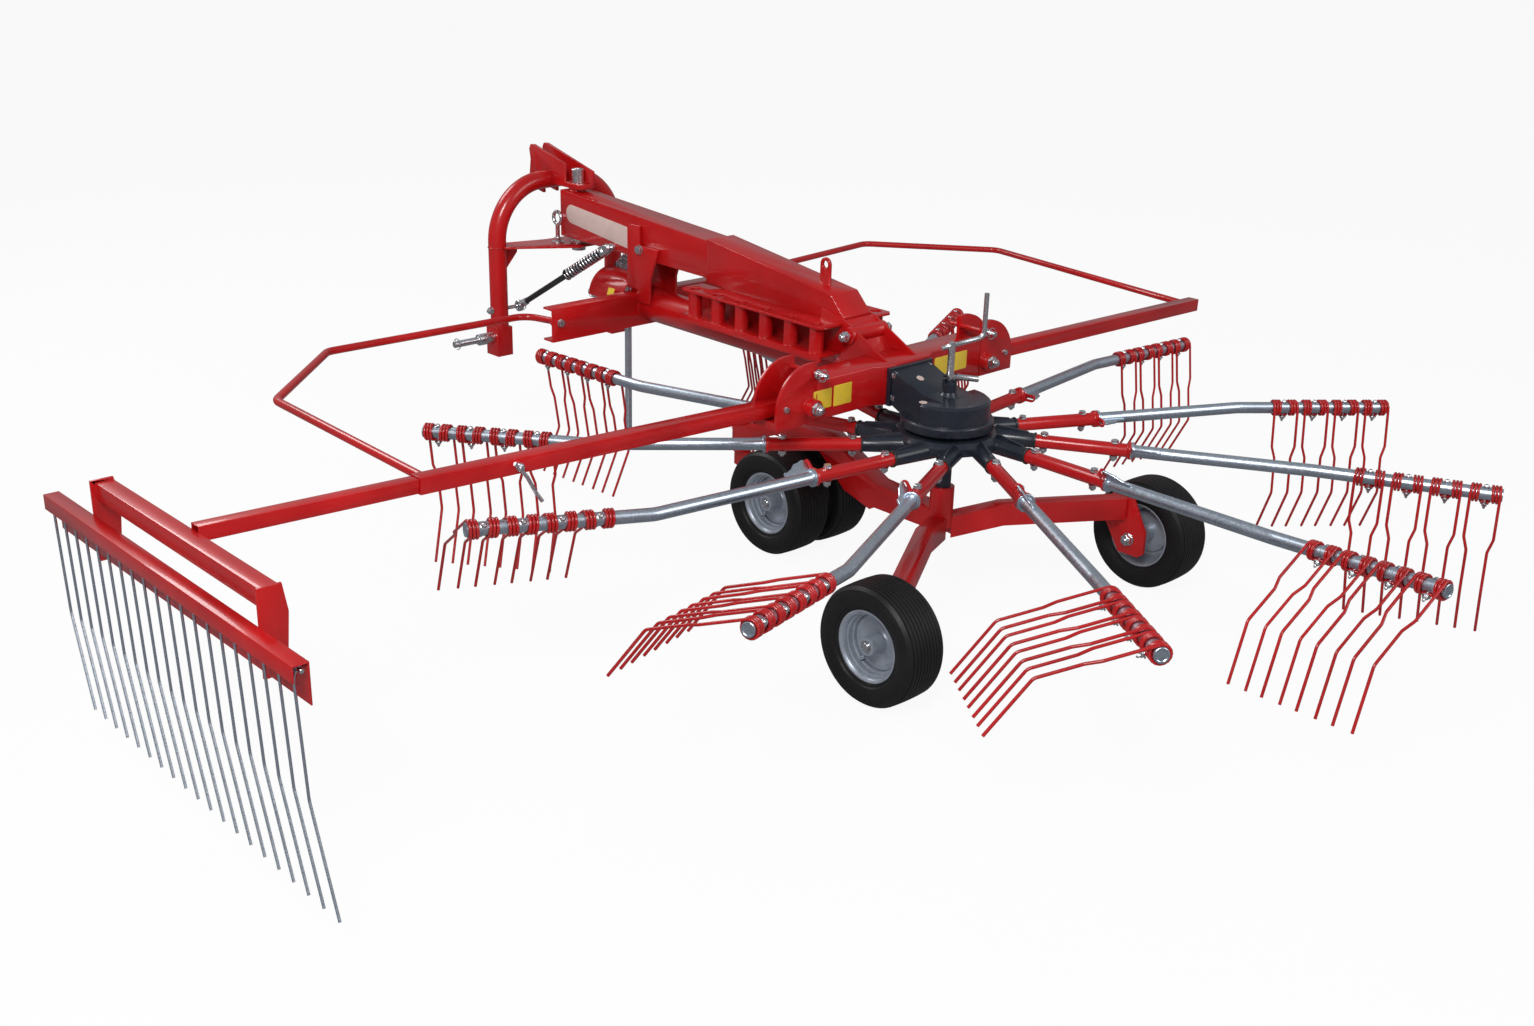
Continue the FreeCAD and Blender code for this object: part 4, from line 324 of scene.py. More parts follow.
rim_silver = rim_paint()
film_yellow = blank_film("film_yellow", colour(0.78, 0.55, 0.03), colour(0.62, 0.42, 0.06))
film_pale = blank_film("film_pale", colour(0.66, 0.50, 0.45), colour(0.52, 0.36, 0.33))
print("materials:", len(bpy.data.materials))

# %% [markdown]
# The CAD solids have knife-sharp edges, and light needs a small round to catch on.
# A copy of each welded part is merged, its flat faces are joined back into whole polygons, and a Bevel modifier
# rounds every edge sharper than the limit. The copy then stands for the CAD node.


def settled(obj, material, body, smooth_angle=38.0):
    """Gives a piece its material and smooth shading, with sharp creases kept, and sets it on its body."""
    obj.data.materials.clear()
    obj.data.materials.append(material)
    for polygon in obj.data.polygons:
        polygon.use_smooth = True
        polygon.material_index = 0
    obj.data.set_sharp_from_angle(angle=math.radians(smooth_angle))
    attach(obj, body)
    return obj


def linked(name, data):
    """A new object of the scene that holds the data."""
    obj = bpy.data.objects.new(name, data)
    bpy.context.scene.collection.objects.link(obj)
    return obj


def new_object(name, build):
    """Wraps a bmesh in an object at the origin."""
    mesh = bpy.data.meshes.new(name)
    build.to_mesh(mesh)
    build.free()
    return linked(name, mesh)


def plain_mesh(obj):
    """The mesh that an object shows, with its modifiers or its curve worked out."""
    graph = bpy.context.evaluated_depsgraph_get()
    graph.update()
    return bpy.data.meshes.new_from_object(obj.evaluated_get(graph))


def apply_modifiers(obj):
    mesh = plain_mesh(obj)
    obj.modifiers.clear()
    obj.data = mesh


# %% [markdown]
# Each line below names a body, a paint and its pieces, with the radius of their edges in millimetres.
# Folded sheet has a wide round, cut plate a narrow one, and what is round already gets none.

# %% Rounded copies of the CAD parts
MERGE_DISTANCE = 0.00002                   # metres, joins the CAD mesh's loose triangles
FLAT_ANGLE, EDGE_ANGLE = math.radians(0.6), math.radians(28.0)


def rounded_copy(node, name, body, material, width, segments):
    """A copy of a CAD node with its edges rounded, riding on the same body."""
    build = bmesh.new()
    build.from_mesh(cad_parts[node].data)
    bmesh.ops.remove_doubles(build, verts=build.verts, dist=MERGE_DISTANCE)
    bmesh.ops.dissolve_limit(build, angle_limit=FLAT_ANGLE, verts=build.verts, edges=build.edges)
    obj = new_object(name, build)
    if width:
        bevel = obj.modifiers.new("edges", "BEVEL")
        bevel.width = width * MM
        bevel.segments = segments
        bevel.limit_method = "ANGLE"
        bevel.angle_limit = EDGE_ANGLE
        bevel.use_clamp_overlap = True
        apply_modifiers(obj)
    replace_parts(settled(obj, material, body, 34.0), node)


COPIES = (
    ("frame", frame_red, "painted", {
        "main_tube": 1.5, "cross_channel": 5.0, "top_beam": 5.0, "front_upright": 2.5, "rear_bracket": 2.5,
        "crossbeam": 5.0, "fold_plates_left": 2.0, "fold_plates_right": 2.0, "arm_rack_left": 1.5,
        "arm_rack_right": 1.5, "stand_sleeve": 1.5, "front_beam": 6.0, "rear_arm_left": 5.0, "rear_arm_right": 5.0,
        "pto_guard": 1.0}),
    ("left_arm", frame_red, "painted", {"side_arm_left": 3.5}),
    ("right_arm", frame_red, "painted", {"side_arm_right": 3.5}),
    ("curtain", frame_red, "painted", {"curtain_frame": 3.0, "curtain_rail": 1.6}),
    ("castor", frame_red, "painted", {"castor_yoke": 3.0}),
    ("headstock", frame_red, "painted", {"headstock_arch": 3.0, "headstock_plates": 3.0, "headstock_lower": 3.0}),
    ("frame", casting_black, "casting", {"gearbox": 6.0}),
    ("rotor", casting_black, "casting", {"rotor_hub": 2.5}),
    ("headstock", bright_zinc, "plated", {"headstock_pins": 2.0}),
    ("stand", galvanised, "galvanised", {"parking_stand": 1.5}),
    ("left_arm", frame_red, "smooth", {"guard_hoop_left": 0}),
    ("right_arm", frame_red, "smooth", {"guard_hoop_right": 0}),
    ("frame", casting_black, "smooth", {"column": 0}),
    ("frame", bright_zinc, "smooth", {"height_crank": 0, "strut_brackets": 0}),
    ("headstock", bright_zinc, "smooth", {"strut_bolts": 0}),
)
for body, material, ending, widths in COPIES:
    for node, width in widths.items():
        rounded_copy(node, node + "_" + ending, body, material, width, 3 if node == "gearbox" else 2)
print("rounded copies:", sum(len(row[3]) for row in COPIES))

# %% [markdown]
# Many pieces are one shape repeated: bolts, tines, wires.
# A Geometry Nodes tree puts one model on every point of a small mesh and turns it by a vector stored on the point,
# so a new place is one more entry in a list. Instances are realised at the end, because the export drops them.

# %% One tree that sets a model on every point
def model_on_points():
    tree = bpy.data.node_groups.new("model_on_points", "GeometryNodeTree")
    for name, kind in (("Places", "Geometry"), ("Model", "Object"), ("Finish", "Material")):
        tree.interface.new_socket(name=name, in_out="INPUT", socket_type="NodeSocket" + kind)
    tree.interface.new_socket(name="Pieces", in_out="OUTPUT", socket_type="NodeSocketGeometry")
    add = tree.nodes.new

    def stored(name, data_type):
        """Reads a value that is stored on the points."""
        found = add("GeometryNodeInputNamedAttribute")
        found.data_type = data_type
        found.inputs["Name"].default_value = name
        return found.outputs["Attribute"]

    start = add("NodeGroupInput")
    end = add("NodeGroupOutput")
    model = add("GeometryNodeObjectInfo")
    rotation = add("FunctionNodeEulerToRotation")
    instances = add("GeometryNodeInstanceOnPoints")
    real = add("GeometryNodeRealizeInstances")
    finish = add("GeometryNodeSetMaterial")
    for source, target in ((start.outputs["Model"], model.inputs["Object"]),
                           (start.outputs["Places"], instances.inputs["Points"]),
                           (model.outputs["Geometry"], instances.inputs["Instance"]),
                           (stored("turn", "FLOAT_VECTOR"), rotation.inputs[0]),
                           (rotation.outputs[0], instances.inputs["Rotation"]),
                           (stored("size", "FLOAT"), instances.inputs["Scale"]),
                           (instances.outputs["Instances"], real.inputs["Geometry"]),
                           (real.outputs["Geometry"], finish.inputs["Geometry"]),
                           (start.outputs["Finish"], finish.inputs["Material"]),
                           (finish.outputs["Geometry"], end.inputs["Pieces"])):
        tree.links.new(source, target)
    return tree


on_points = model_on_points()
TREE_INPUT = {item.name: item.identifier for item in on_points.interface.items_tree if item.in_out == "INPUT"}
print("inputs of the tree:", ", ".join(TREE_INPUT))

# %% [markdown]
# The tree needs a small mesh with one point for each place, and on each point how far the model turns and how big
# it is. A turn is a matrix whose columns are the directions that the model's own axes take.

# %% Repeating a model
def repeated(name, model, places, material, body, smooth_angle=38.0):
    """Sets the model at every (point, turn, size) place and returns one plain mesh on the body."""
    points, turns, sizes = zip(*places)
    mesh = bpy.data.meshes.new(name)
    mesh.from_pydata([tuple(point) for point in points], [], [])
    angles = [angle for turn in turns for angle in turn.to_euler("XYZ")]
    mesh.attributes.new("turn", "FLOAT_VECTOR", "POINT").data.foreach_set("vector", angles)
    mesh.attributes.new("size", "FLOAT", "POINT").data.foreach_set("value", sizes)
    obj = linked(name, mesh)
    modifier = obj.modifiers.new("repeat", "NODES")
    modifier.node_group = on_points
    modifier[TREE_INPUT["Model"]] = model
    modifier[TREE_INPUT["Finish"]] = material
    apply_modifiers(obj)
    return settled(obj, material, body, smooth_angle)


def drop(*models):
    """Takes the finished patterns out of the scene."""
    for model in models:
        bpy.data.objects.remove(model)


def axes(x, y, z):
    """A turn that points a model's axes along three directions."""
    return Matrix((x, y, z)).transposed()


def facing(direction, up=Z):
    """A turn that points a model's Z axis along the direction."""
    direction = direction.normalized()
    side = up.cross(direction)
    if side.length < 1e-4:
        side = X.cross(direction)
    side.normalize()
    return axes(side, direction.cross(side), direction)


print("a model facing forwards points along:", tuple(facing(X) @ Z))

# %% [markdown]
# Two shapes turn up everywhere: a profile spun round an axis and a round wire along a path.
# Both are plain mesh code. The wire keeps its section from twisting by carrying one direction along the path.

# %% Spun profiles
NEAR_AXIS = 0.01                           # mm, where a profile stops, so that its pole can be merged
MERGED = 0.00003                           # metres


def solid(*points, tip=None):
    """A profile of (radius, along) points that reaches the axis at both ends, the far one at the tip if given."""
    return [(NEAR_AXIS, points[0][1]), *points, (NEAR_AXIS, points[-1][1] if tip is None else tip)]


def rod(radius, low, high):
    return solid((radius, low), (radius, high))


def spun(build, profile, steps=48, centre=Vector((0, 0, 0)), axis=Z):
    """Adds a closed profile in mm, spun round the axis."""
    turn = facing(axis)
    rings = []
    for i in range(steps):
        angle = 2 * math.pi * i / steps
        ray = Vector((math.cos(angle), math.sin(angle), 0))
        rings.append([build.verts.new((centre + turn @ (ray * r + Z * along)) * MM) for r, along in profile])
    count = len(profile)
    for i, near in enumerate(rings):
        far = rings[(i + 1) % steps]
        for j in range(count):
            k = (j + 1) % count
            build.faces.new((near[j], far[j], far[k], near[k]))


def outward(build):
    """Closes seams and poles, then turns every face outwards."""
    bmesh.ops.remove_doubles(build, verts=build.verts, dist=MERGED)
    bmesh.ops.recalc_face_normals(build, faces=build.faces)
    return build


def turned_model(name, *spins):
    """A pattern made of spun profiles, each given as (profile, steps, centre, axis)."""
    build = bmesh.new()
    for spin in spins:
        spun(build, *spin)
    return new_object(name, outward(build))


def turned(name, material, body, *spins, smooth_angle=38.0):
    """One finished piece of spun profiles."""
    return settled(turned_model(name, *spins), material, body, smooth_angle)


def piece(name, build, material, body, smooth_angle=38.0):
    """One bmesh as one finished piece on a body."""
    return settled(new_object(name, outward(build)), material, body, smooth_angle)


print("a rod's profile:", rod(5.0, 0.0, 10.0))

# %% [markdown]
# Everything that is drawn along a line is a row of rings of points, joined ring by ring and closed at both ends.
# A wire's rings are circles across the path. A corner of a bent bar is eased into a curve before that.

# %% Rings, wires and bent bars
def skin(build, rings):
    """Joins rings of points in their order and closes the first and the last."""
    for near, far in zip(rings, rings[1:]):
        for s in range(len(near)):
            t = (s + 1) % len(near)
            build.faces.new((near[s], near[t], far[t], far[s]))
    build.faces.new(tuple(reversed(rings[0])))
    build.faces.new(tuple(rings[-1]))


def swept(build, path, radius, sides=8):
    """Adds a round wire along a path in mm. The radius is one number, or a list with one for each point."""
    radii = radius if isinstance(radius, list) else [radius] * len(path)
    last = len(path) - 1
    tangents = [(path[min(i + 1, last)] - path[max(i - 1, 0)]).normalized() for i in range(len(path))]
    corners = [2 * math.pi * s / sides for s in range(sides)]
    across = tangents[0].orthogonal().normalized()
    rings = []
    for point, tangent, size in zip(path, tangents, radii):
        across = (across - tangent * across.dot(tangent)).normalized()
        other = tangent.cross(across)
        rings.append([build.verts.new((point + (across * math.cos(a) + other * math.sin(a)) * size) * MM)
                      for a in corners])
    skin(build, rings)


def curve_round(before, corner, after, steps):
    """Points of a smooth curve from one place to the next that heads for the corner between them."""
    return [before * (1 - t) ** 2 + corner * (2 * t * (1 - t)) + after * t ** 2
            for t in [i / steps for i in range(steps + 1)]]


def eased(points, corner, steps=6):
    """Rounds the corners of a path of straight runs."""
    path = [points[0]]
    for before, here, after in zip(points, points[1:], points[2:]):
        into = (here - before).normalized()
        away = (after - here).normalized()
        back = corner * math.tan(into.angle(away) / 2)
        path += curve_round(here - into * back, here, here + away * back, steps)
    return path + [points[-1]]


def ring_path(centre, axis, radius, steps=60, first=0.0, last=360.0):
    """Points along a circle or an arc round the axis, angles in degrees."""
    turn = facing(axis)
    return [centre + turn @ Vector((radius * math.cos(a), radius * math.sin(a), 0)) for a in
            [math.radians(first + (last - first) * i / steps) for i in range(steps + 1)]]


print("points in one eased corner:", len(eased([X, Y, Z], 0.1)) - 2)

# %% [markdown]
# Bolts hold everything together, so one hexagon head, one nut with its thread end and one dome nut serve everywhere.
# Each is a profile spun in six steps for the flats or in more steps for the round parts. They are modelled for a
# 10 mm thread and the tree scales them, so a 16 mm bolt is the same model with a size of 1.6.

# %% Bolt, nut, dome nut and linch pin models
HEX = 6                                    # steps of a spin that give flats


def hexagon(width, low, high, chamfer=0.8):
    """A profile for six steps: flats of that width, with the outer rim chamfered."""
    radius = width / math.sqrt(3)
    return solid((radius, low), (radius, high - chamfer), (radius * 0.9, high))


def linch_pin():
    """Pin along X through a hole, with a sprung ring that snaps over it."""
    build = bmesh.new()
    swept(build, [X * -14, X * 16], 3.2)
    ring = [Vector((17 * math.cos(a) - 1, 17 * math.sin(a), 2.0 * math.sin(a / 2)))
            for a in [math.radians(20 + 320 * i / 22) for i in range(23)]]
    swept(build, ring, 1.6, 6)
    return new_object("linch_pin_model", outward(build))


bolt_model = turned_model("bolt_head_model", (rod(10.0, 0.0, 1.8), 20), (hexagon(16.0, 1.8, 8.2), HEX))
nut_model = turned_model("nut_model", (rod(10.0, 0.0, 1.8), 20), (hexagon(16.0, 1.8, 10.2), HEX),
                         (solid((5.0, 10.0), (5.0, 13.5), (4.2, 14.3)), 12))
dome_model = turned_model("dome_nut_model", (rod(11.0, 0.0, 2.0), 20), (hexagon(17.0, 2.0, 8.5, 1.2), HEX),
                          (solid((7.2, 8.2), (6.6, 12.0), (4.4, 14.6), tip=15.6), 18))
linch_model = linch_pin()
print("faces of bolt, nut, dome nut and linch pin:",
      [len(model.data.polygons) for model in (bolt_model, nut_model, dome_model, linch_model)])

# %% [markdown]
# Flat parts cut from sheet, such as lugs, ears and gussets, start as a closed outline with holes.
# Blender's curves fill an outline and leave its inner outlines open, and extrude it with a small rounded edge,
# so a slotted plate takes one line for each outline. The result is made a mesh at once.

# %% Plates cut from sheet
def arc(x, y, radius, first, last, steps=8):
    """Points along an arc in a plate's plane, angles in degrees."""
    return [(x + radius * math.cos(a), y + radius * math.sin(a)) for a in
            [math.radians(first + (last - first) * i / steps) for i in range(steps + 1)]]


def plate(name, outlines, thickness, turn=Matrix.Identity(3), place=Vector((0, 0, 0)), edge=0.8):
    """Sheet metal in mm: outlines lie in the model's XY plane and the thickness is centred on it."""
    curve = bpy.data.curves.new(name, "CURVE")
    curve.dimensions = "2D"
    curve.fill_mode = "BOTH"
    curve.extrude = thickness / 2 - edge
    curve.bevel_depth = edge
    curve.bevel_resolution = 1
    curve.offset = -edge
    for outline in outlines:
        spline = curve.splines.new("POLY")
        spline.points.add(len(outline) - 1)
        for point, (x, y) in zip(spline.points, outline):
            point.co = (x, y, 0, 1)
        spline.use_cyclic_u = True
    flat = linked(name + "_outline", curve)
    mesh = plain_mesh(flat)
    drop(flat)
    bpy.data.curves.remove(curve)
    mesh.name = name
    mesh.transform(Matrix.Translation(place * MM) @ turn.to_4x4() @ Matrix.Scale(MM, 4))
    return linked(name, mesh)


def joined(name, objects, material, body, smooth_angle=38.0):
    """Several meshes made one piece on one body."""
    build = bmesh.new()
    for obj in objects:
        build.from_mesh(obj.data)
    drop(*objects)
    return piece(name, build, material, body, smooth_angle)


print("points in a quarter arc:", len(arc(0, 0, 10, 0, 90)))

# %% [markdown]
# The tine arms stand round the hub like the spokes of a wheel, but offset, so each passes the centre on one side.
# A small class works out the directions of one arm once, so the pieces on it can all be placed by them. On one side
# of the machine the cam has turned the arms, which lifts their tines, so these arms get a twist of their own.

# %% Directions of the tine arms
ARM_COUNT = 11
FIRST_ARM = 16.6                           # degrees, from straight ahead to the left
ARM_PLANE = 605.0                          # height of the arms' axes at the hub
ARM_OFFSET = 71.0                          # how far an arm's axis passes from the rotor's
SOCKET_END = 293.0                         # along the arm, as the next two are
SLEEVE_END = 620.0
BEND_AT = 1211.0
BEND_LENGTH = 581.0                        # from the bend to the tip
BEND = math.radians(12.9)
DROOP = math.radians(0.5)
TUBE = 42.4                                # across
CLEAR = 0.3                                # what two pieces of one arm keep between them
CAM_TWIST = {2: 38.0, 3: 60.0, 4: 62.0, 5: 50.0, 6: 22.0}                # arm number: degrees
CAM_TINE_TWIST = {2: 48.0, 3: 62.0, 4: 65.0, 5: 48.0}
CAM_RISE_SHARE = 0.5                       # how much of a twisted bend lifts the outer part


class Arm:
    """Places and directions of one arm, in mm."""

    def __init__(self, number):
        self.number = number
        angle = math.radians(FIRST_ARM + number * 360.0 / ARM_COUNT)
        level = Vector((math.cos(angle), math.sin(angle), 0))
        self.trailing = Vector((math.sin(angle), -math.cos(angle), 0))
        self.base = Z * ARM_PLANE - self.trailing * ARM_OFFSET + ORIGIN
        self.along = level * math.cos(DROOP) - Z * math.sin(DROOP)
        self.up = self.along.cross(-self.trailing)
        self.collar = self.base + self.along * (SLEEVE_END + CLEAR)
        self.knee = self.base + self.along * BEND_AT
        twist = math.radians(CAM_TWIST.get(number, 0.0))
        self.crest = self.trailing * math.cos(twist) + self.up * math.sin(twist)
        sideways = math.sin(BEND) * math.cos(twist)
        rise = math.sin(BEND) * math.sin(twist) * CAM_RISE_SHARE
        forwards = math.sqrt(1 - sideways ** 2 - rise ** 2)
        self.run = (self.along * forwards + self.trailing * sideways + Z * rise).normalized()
        self.tip = self.knee + self.run * BEND_LENGTH
        self.hang(math.radians(CAM_TINE_TWIST.get(number, 0.0)))

    def hang(self, twist):
        """Works out the ways that the tines of the outer part point and lead."""
        below = (self.run * self.run.z - Z).normalized()
        behind = self.run.cross(below)
        if behind.dot(self.trailing) < 0:
            behind = -behind
        self.down = below * math.cos(twist) + behind * math.sin(twist)
        self.lead = below * math.sin(twist) - behind * math.cos(twist)


arms = [Arm(number) for number in range(ARM_COUNT)]
print("arm ends above the ground in mm:", [round(arm.tip.z) for arm in arms])

# %% [markdown]
# Each arm is a bent galvanised tube. Its bend is a smooth arc, its far end is closed by a dished cap,
# and its near end carries a collar. The tube is swept along the arm, with the end cap and the collar spun round the
# same line.

# %% Galvanised arm tubes
def arm_tube(arm):
    radius = TUBE / 2
    build = bmesh.new()
    swept(build, eased([arm.collar, arm.knee, arm.tip - arm.run * 3], 160.0, 12), radius, 28)
    spun(build, solid((radius - 0.1, -3.2), (radius - 0.1, -1.2), (radius - 1.4, 0.0), (radius - 5.0, 0.0),
                      (radius - 7.0, -1.8)), 28, arm.tip, arm.run)
    spun(build, [(radius - 1, 0.0), (29.4, 0.0), (30.0, 0.8), (30.0, 8.4), (29.0, 9.2), (radius + 1.0, 9.4),
                 (radius - 1, 11.5)], 32, arm.collar, arm.along)
    obj = piece("arm_tube_%02d" % (arm.number + 1), build, galvanised, "rotor", 42.0)
    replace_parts(obj, "tine_arm_%02d" % (arm.number + 1))


for arm in arms:
    arm_tube(arm)
print("arm tubes:", len(arms))

# %% [markdown]
# At the collar stands the ear that the cam lever pushes: a thin plate, tall at the collar and hooked at its far end,
# which turns with the arm. The hub has a rib on top of each socket, which never turns. Both are plates on the tube.

# %% Arm ears and hub ribs
ear_outline = ([(1.5, 18.0)] + arc(10, 60, 9.5, 180, 60, 5) + [(28, 63), (46, 60), (62, 46), (84, 36), (94, 38)]
               + [(99, 27), (96, 18.0)])
rib_outline = [(150, 18), (164, 43), (184, 42), (SOCKET_END - 20, 30), (SOCKET_END - 12, 18)]
joined("arm_ears", [plate("ear", [ear_outline], 6.0, axes(arm.along, arm.crest, arm.along.cross(arm.crest)),
                          arm.collar) for arm in arms], galvanised, "rotor")
joined("hub_ribs", [plate("rib", [rib_outline], 7.0, axes(arm.along, arm.up, arm.along.cross(arm.up)), arm.base)
                    for arm in arms], casting_black, "rotor")
print("ears and ribs:", 2 * len(arms))

# %% [markdown]
# A double tine is wound from one length of spring wire: leg, three turns round the tube, a straight bridge under it,
# three turns of the other hand and the second leg. The wire's centre line is one list of points, so it is swept in
# one go. The model's X axis points down, Y leads and Z runs outwards along the arm.

# %% Double tines
COIL_PITCH = 58.5                          # from one coil's middle to the next
WIRE = 9.5                                 # across
TURNS = 2.75                               # in one coil
COIL_STEPS = 44                            # points along one coil
TURN_RISE = 1.12 * WIRE                    # a little air between the turns
COIL_RADIUS = TUBE / 2 + CLEAR + WIRE / 2
FIRST_COIL = 150.0                         # from the bend
TINE_PAIRS = 4                             # double tines on one arm
LEAN, HOOK = math.radians(9.0), math.radians(27.0)     # of the upper leg backwards, of the lower leg forwards
UPPER, JOG_DROP, JOG, MIDDLE, LOWER = 138.0, 42.0, 13.0, 130.0, 190.0


def tine_path():
    """Centre line of the outer half, from the bridge to the tip."""
    path = []
    for i in range(COIL_STEPS + 1):
        wound = TURNS * i / COIL_STEPS
        angle = 2 * math.pi * wound
        path.append(Vector((COIL_RADIUS * math.cos(angle), COIL_RADIUS * math.sin(angle),
                            COIL_PITCH / 2 + TURN_RISE * (wound - TURNS / 2))))
    upper = Vector((math.cos(LEAN), -math.sin(LEAN), 0))
    lower = Vector((math.cos(HOOK), math.sin(HOOK), 0))
    leg = [path[-1]]
    for step in (upper * UPPER, upper * JOG_DROP - Z * JOG, upper * MIDDLE, lower * LOWER):
        leg.append(leg[-1] + step)
    return path[:-1] + eased(leg, 28.5, 5)


def double_tine():
    build = bmesh.new()
    far = tine_path()
    near = [Vector((p.x, p.y, -p.z)) for p in far]
    swept(build, list(reversed(near)) + far, WIRE / 2)
    return new_object("double_tine_model", outward(build))


def tine_places():
    """Middle of every double tine with its turn."""
    return [((arm.knee + arm.run * (FIRST_COIL + (2 * pair + 0.5) * COIL_PITCH)) * MM,
             axes(arm.down, arm.lead, arm.run), 1.0) for arm in arms for pair in range(TINE_PAIRS)]


double_model = double_tine()
tines = repeated("double_tines", double_model, tine_places(), tine_red, "rotor", 60.0)
print("double tines:", len(tine_places()), "triangles:", sum(len(p.vertices) - 2 for p in tines.data.polygons))

# %% [markdown]
# A bolt through the tube clamps the bridge of each double tine. On top sits a round head, and below the tube a
# saddle plate presses on the wire, with a nut and the bolt's pointed end under it. One model holds all of that.
# As in the tine's model, X points down.

# %% Tine clamps
above, below = 0.5 - TUBE / 2, TUBE / 2 + 0.6 + WIRE
clamp_model = turned_model(
    "tine_clamp_model",
    (solid((10.5, 0), (10.5, 1.6), (8.6, 2.6), (7.6, 6.6), (5.0, 9.0), tip=9.8), 14, X * above, -X),
    (solid((12.5, 0), (13.0, 1.0), (13.0, 3.4), tip=3.6), 14, X * below, X),
    (solid((8.8, 0), (8.8, 6.6), (7.6, 7.6)), HEX, X * (below + 3.4), X),
    (solid((4.8, 0), (4.8, 5.5), (3.2, 8.5), tip=11.0), 10, X * (below + 10.8), X),
    (rod(4.4, -2, WIRE + 1.0), 10, X * (TUBE / 2), X))
repeated("tine_clamps", clamp_model, tine_places(), bright_zinc, "rotor", 34.0)
drop(double_model, clamp_model)
print("tine clamps:", len(tine_places()))

# %% [markdown]
# Between hub and tube each arm turns in a red sleeve with a flange at its end.
# A sleeve is a profile spun round the arm's own axis, and the sleeves of all the arms are one piece.

# %% Arm sleeves
SLEEVE = [(NEAR_AXIS, -58), (18, -58), (18, 0), (22, 0), (23, 1.2), (23, 312), (24, 314.5), (26.5, 317.2),
          (29.2, 318.0), (30, 318.8), (30, 326), (29, 327), (NEAR_AXIS, 327)]
sleeves = turned("arm_sleeves_turned", frame_red, "rotor",
                 *((SLEEVE, 36, arm.base + arm.along * SOCKET_END, arm.along) for arm in arms), smooth_angle=34.0)
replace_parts(sleeves, "arm_sleeves")
print("sleeve triangles:", sum(len(p.vertices) - 2 for p in sleeves.data.polygons))

# %% [markdown]
# A slotted lever stands on each flange, turned with its arm, and two zinc bolts cross each sleeve, one near each end.
# The lever is a plate with a slot, and head, nut and lever are each one model set on a list of places.
# A dark seal, spun like the sleeve, closes each joint with the hub.

# %% Levers, sleeve bolts and seals
SEAL = [(22.0, 0), (27.5, 0), (28.5, 1.5), (28.5, 5.5), (27.0, 7.0), (22.0, 7.0)]
BOLT_SEAT = 22.0                           # from the sleeve's axis to the face under a bolt's head
BOLT_SIZE = 1.4
LEVER = [(-18, 16), (18, 16), (14, 34)] + arc(0, 54, 14, 0, 180, 10) + [(-14, 34)]
LEVER_SLOT = arc(0, 57.5, 5.5, 0, 180) + arc(0, 36.5, 5.5, 180, 360)
lever_model = plate("lever_model", [LEVER, LEVER_SLOT], 8.0)
lever_places, bolt_places, nut_places = [], [], []
for arm in arms:
    lever_places.append(((arm.base + arm.along * (SLEEVE_END - 4.6)) * MM,
                         axes(arm.crest.cross(arm.along), arm.crest, arm.along), 1.0))
    for along in (SOCKET_END + 34.0, SLEEVE_END - 56.0):
        place = arm.base + arm.along * along
        bolt_places.append(((place + arm.up * BOLT_SEAT) * MM, facing(arm.up, arm.along), BOLT_SIZE))
        nut_places.append(((place - arm.up * BOLT_SEAT) * MM, facing(-arm.up, arm.along), BOLT_SIZE))
repeated("sleeve_levers", lever_model, lever_places, frame_red, "rotor")
repeated("sleeve_bolt_heads", bolt_model, bolt_places, bright_zinc, "rotor", 30.0)
repeated("sleeve_bolt_nuts", nut_model, nut_places, bright_zinc, "rotor", 30.0)
turned("socket_seals", dark_plastic, "rotor",
       *((SEAL, 28, arm.base + arm.along * (SOCKET_END + CLEAR), arm.along) for arm in arms))
drop(lever_model)
print("levers:", len(lever_places), "sleeve bolts:", len(bolt_places))

# %% [markdown]
# The flotation tyres are turned shapes: bulging walls with a rim protector ring, a ridge at the shoulder and
# a tread of fine ribs right round. One profile in millimetres is spun about the axle. The grooves between the
# ribs are real ones, so that they show at the edge of the wheel.

# %% Tyre profile
TYRE = 199.0
RIM = 112.0
TREAD_HALF = 63.0
RIBS = 9
GROOVE = 3.6
CROWNING = 2.6                             # how much lower the outermost ribs stand


def tyre_profile():
    wall = [(RIM - 4, 49.5), (RIM + 6, 62.0), (RIM + 9, 66.5), (RIM + 16, 69.0), (RIM + 20, 75.0),
            (RIM + 34, 80.5), (RIM + 48, 82.3), (RIM + 60, 81.6), (TYRE - 20, 79.0), (TYRE - 17.5, 79.6),
            (TYRE - 14.5, 78.6), (TYRE - 13.0, 75.5), (TYRE - 8.5, 71.0), (TYRE - 5.0, 66.0)]
    tread = []
    for i in range(RIBS):
        low = -TREAD_HALF + 2 * TREAD_HALF * i / RIBS
        high = low + 2 * TREAD_HALF / RIBS
        crown = TYRE - 0.2 - CROWNING * ((low + high) / 2 / TREAD_HALF) ** 2
        floor = crown - GROOVE
        tread += [(floor, low + 0.8), (crown, low + 2.0), (crown, high - 2.0), (floor, high - 0.8)]
    return [(r, -along) for r, along in wall] + tread + list(reversed(wall))


print("points in the tyre's profile:", len(tyre_profile()))

# %% [markdown]
# A rim is pressed from sheet in steps, and its dish carries a hub tube that ends level with the rim's outer edge.
# Both profiles are written for the left wheel, with its outer face at the larger numbers, and mirrored for the right
# one. A plated axle end, its ring and the valve stem are spun too.

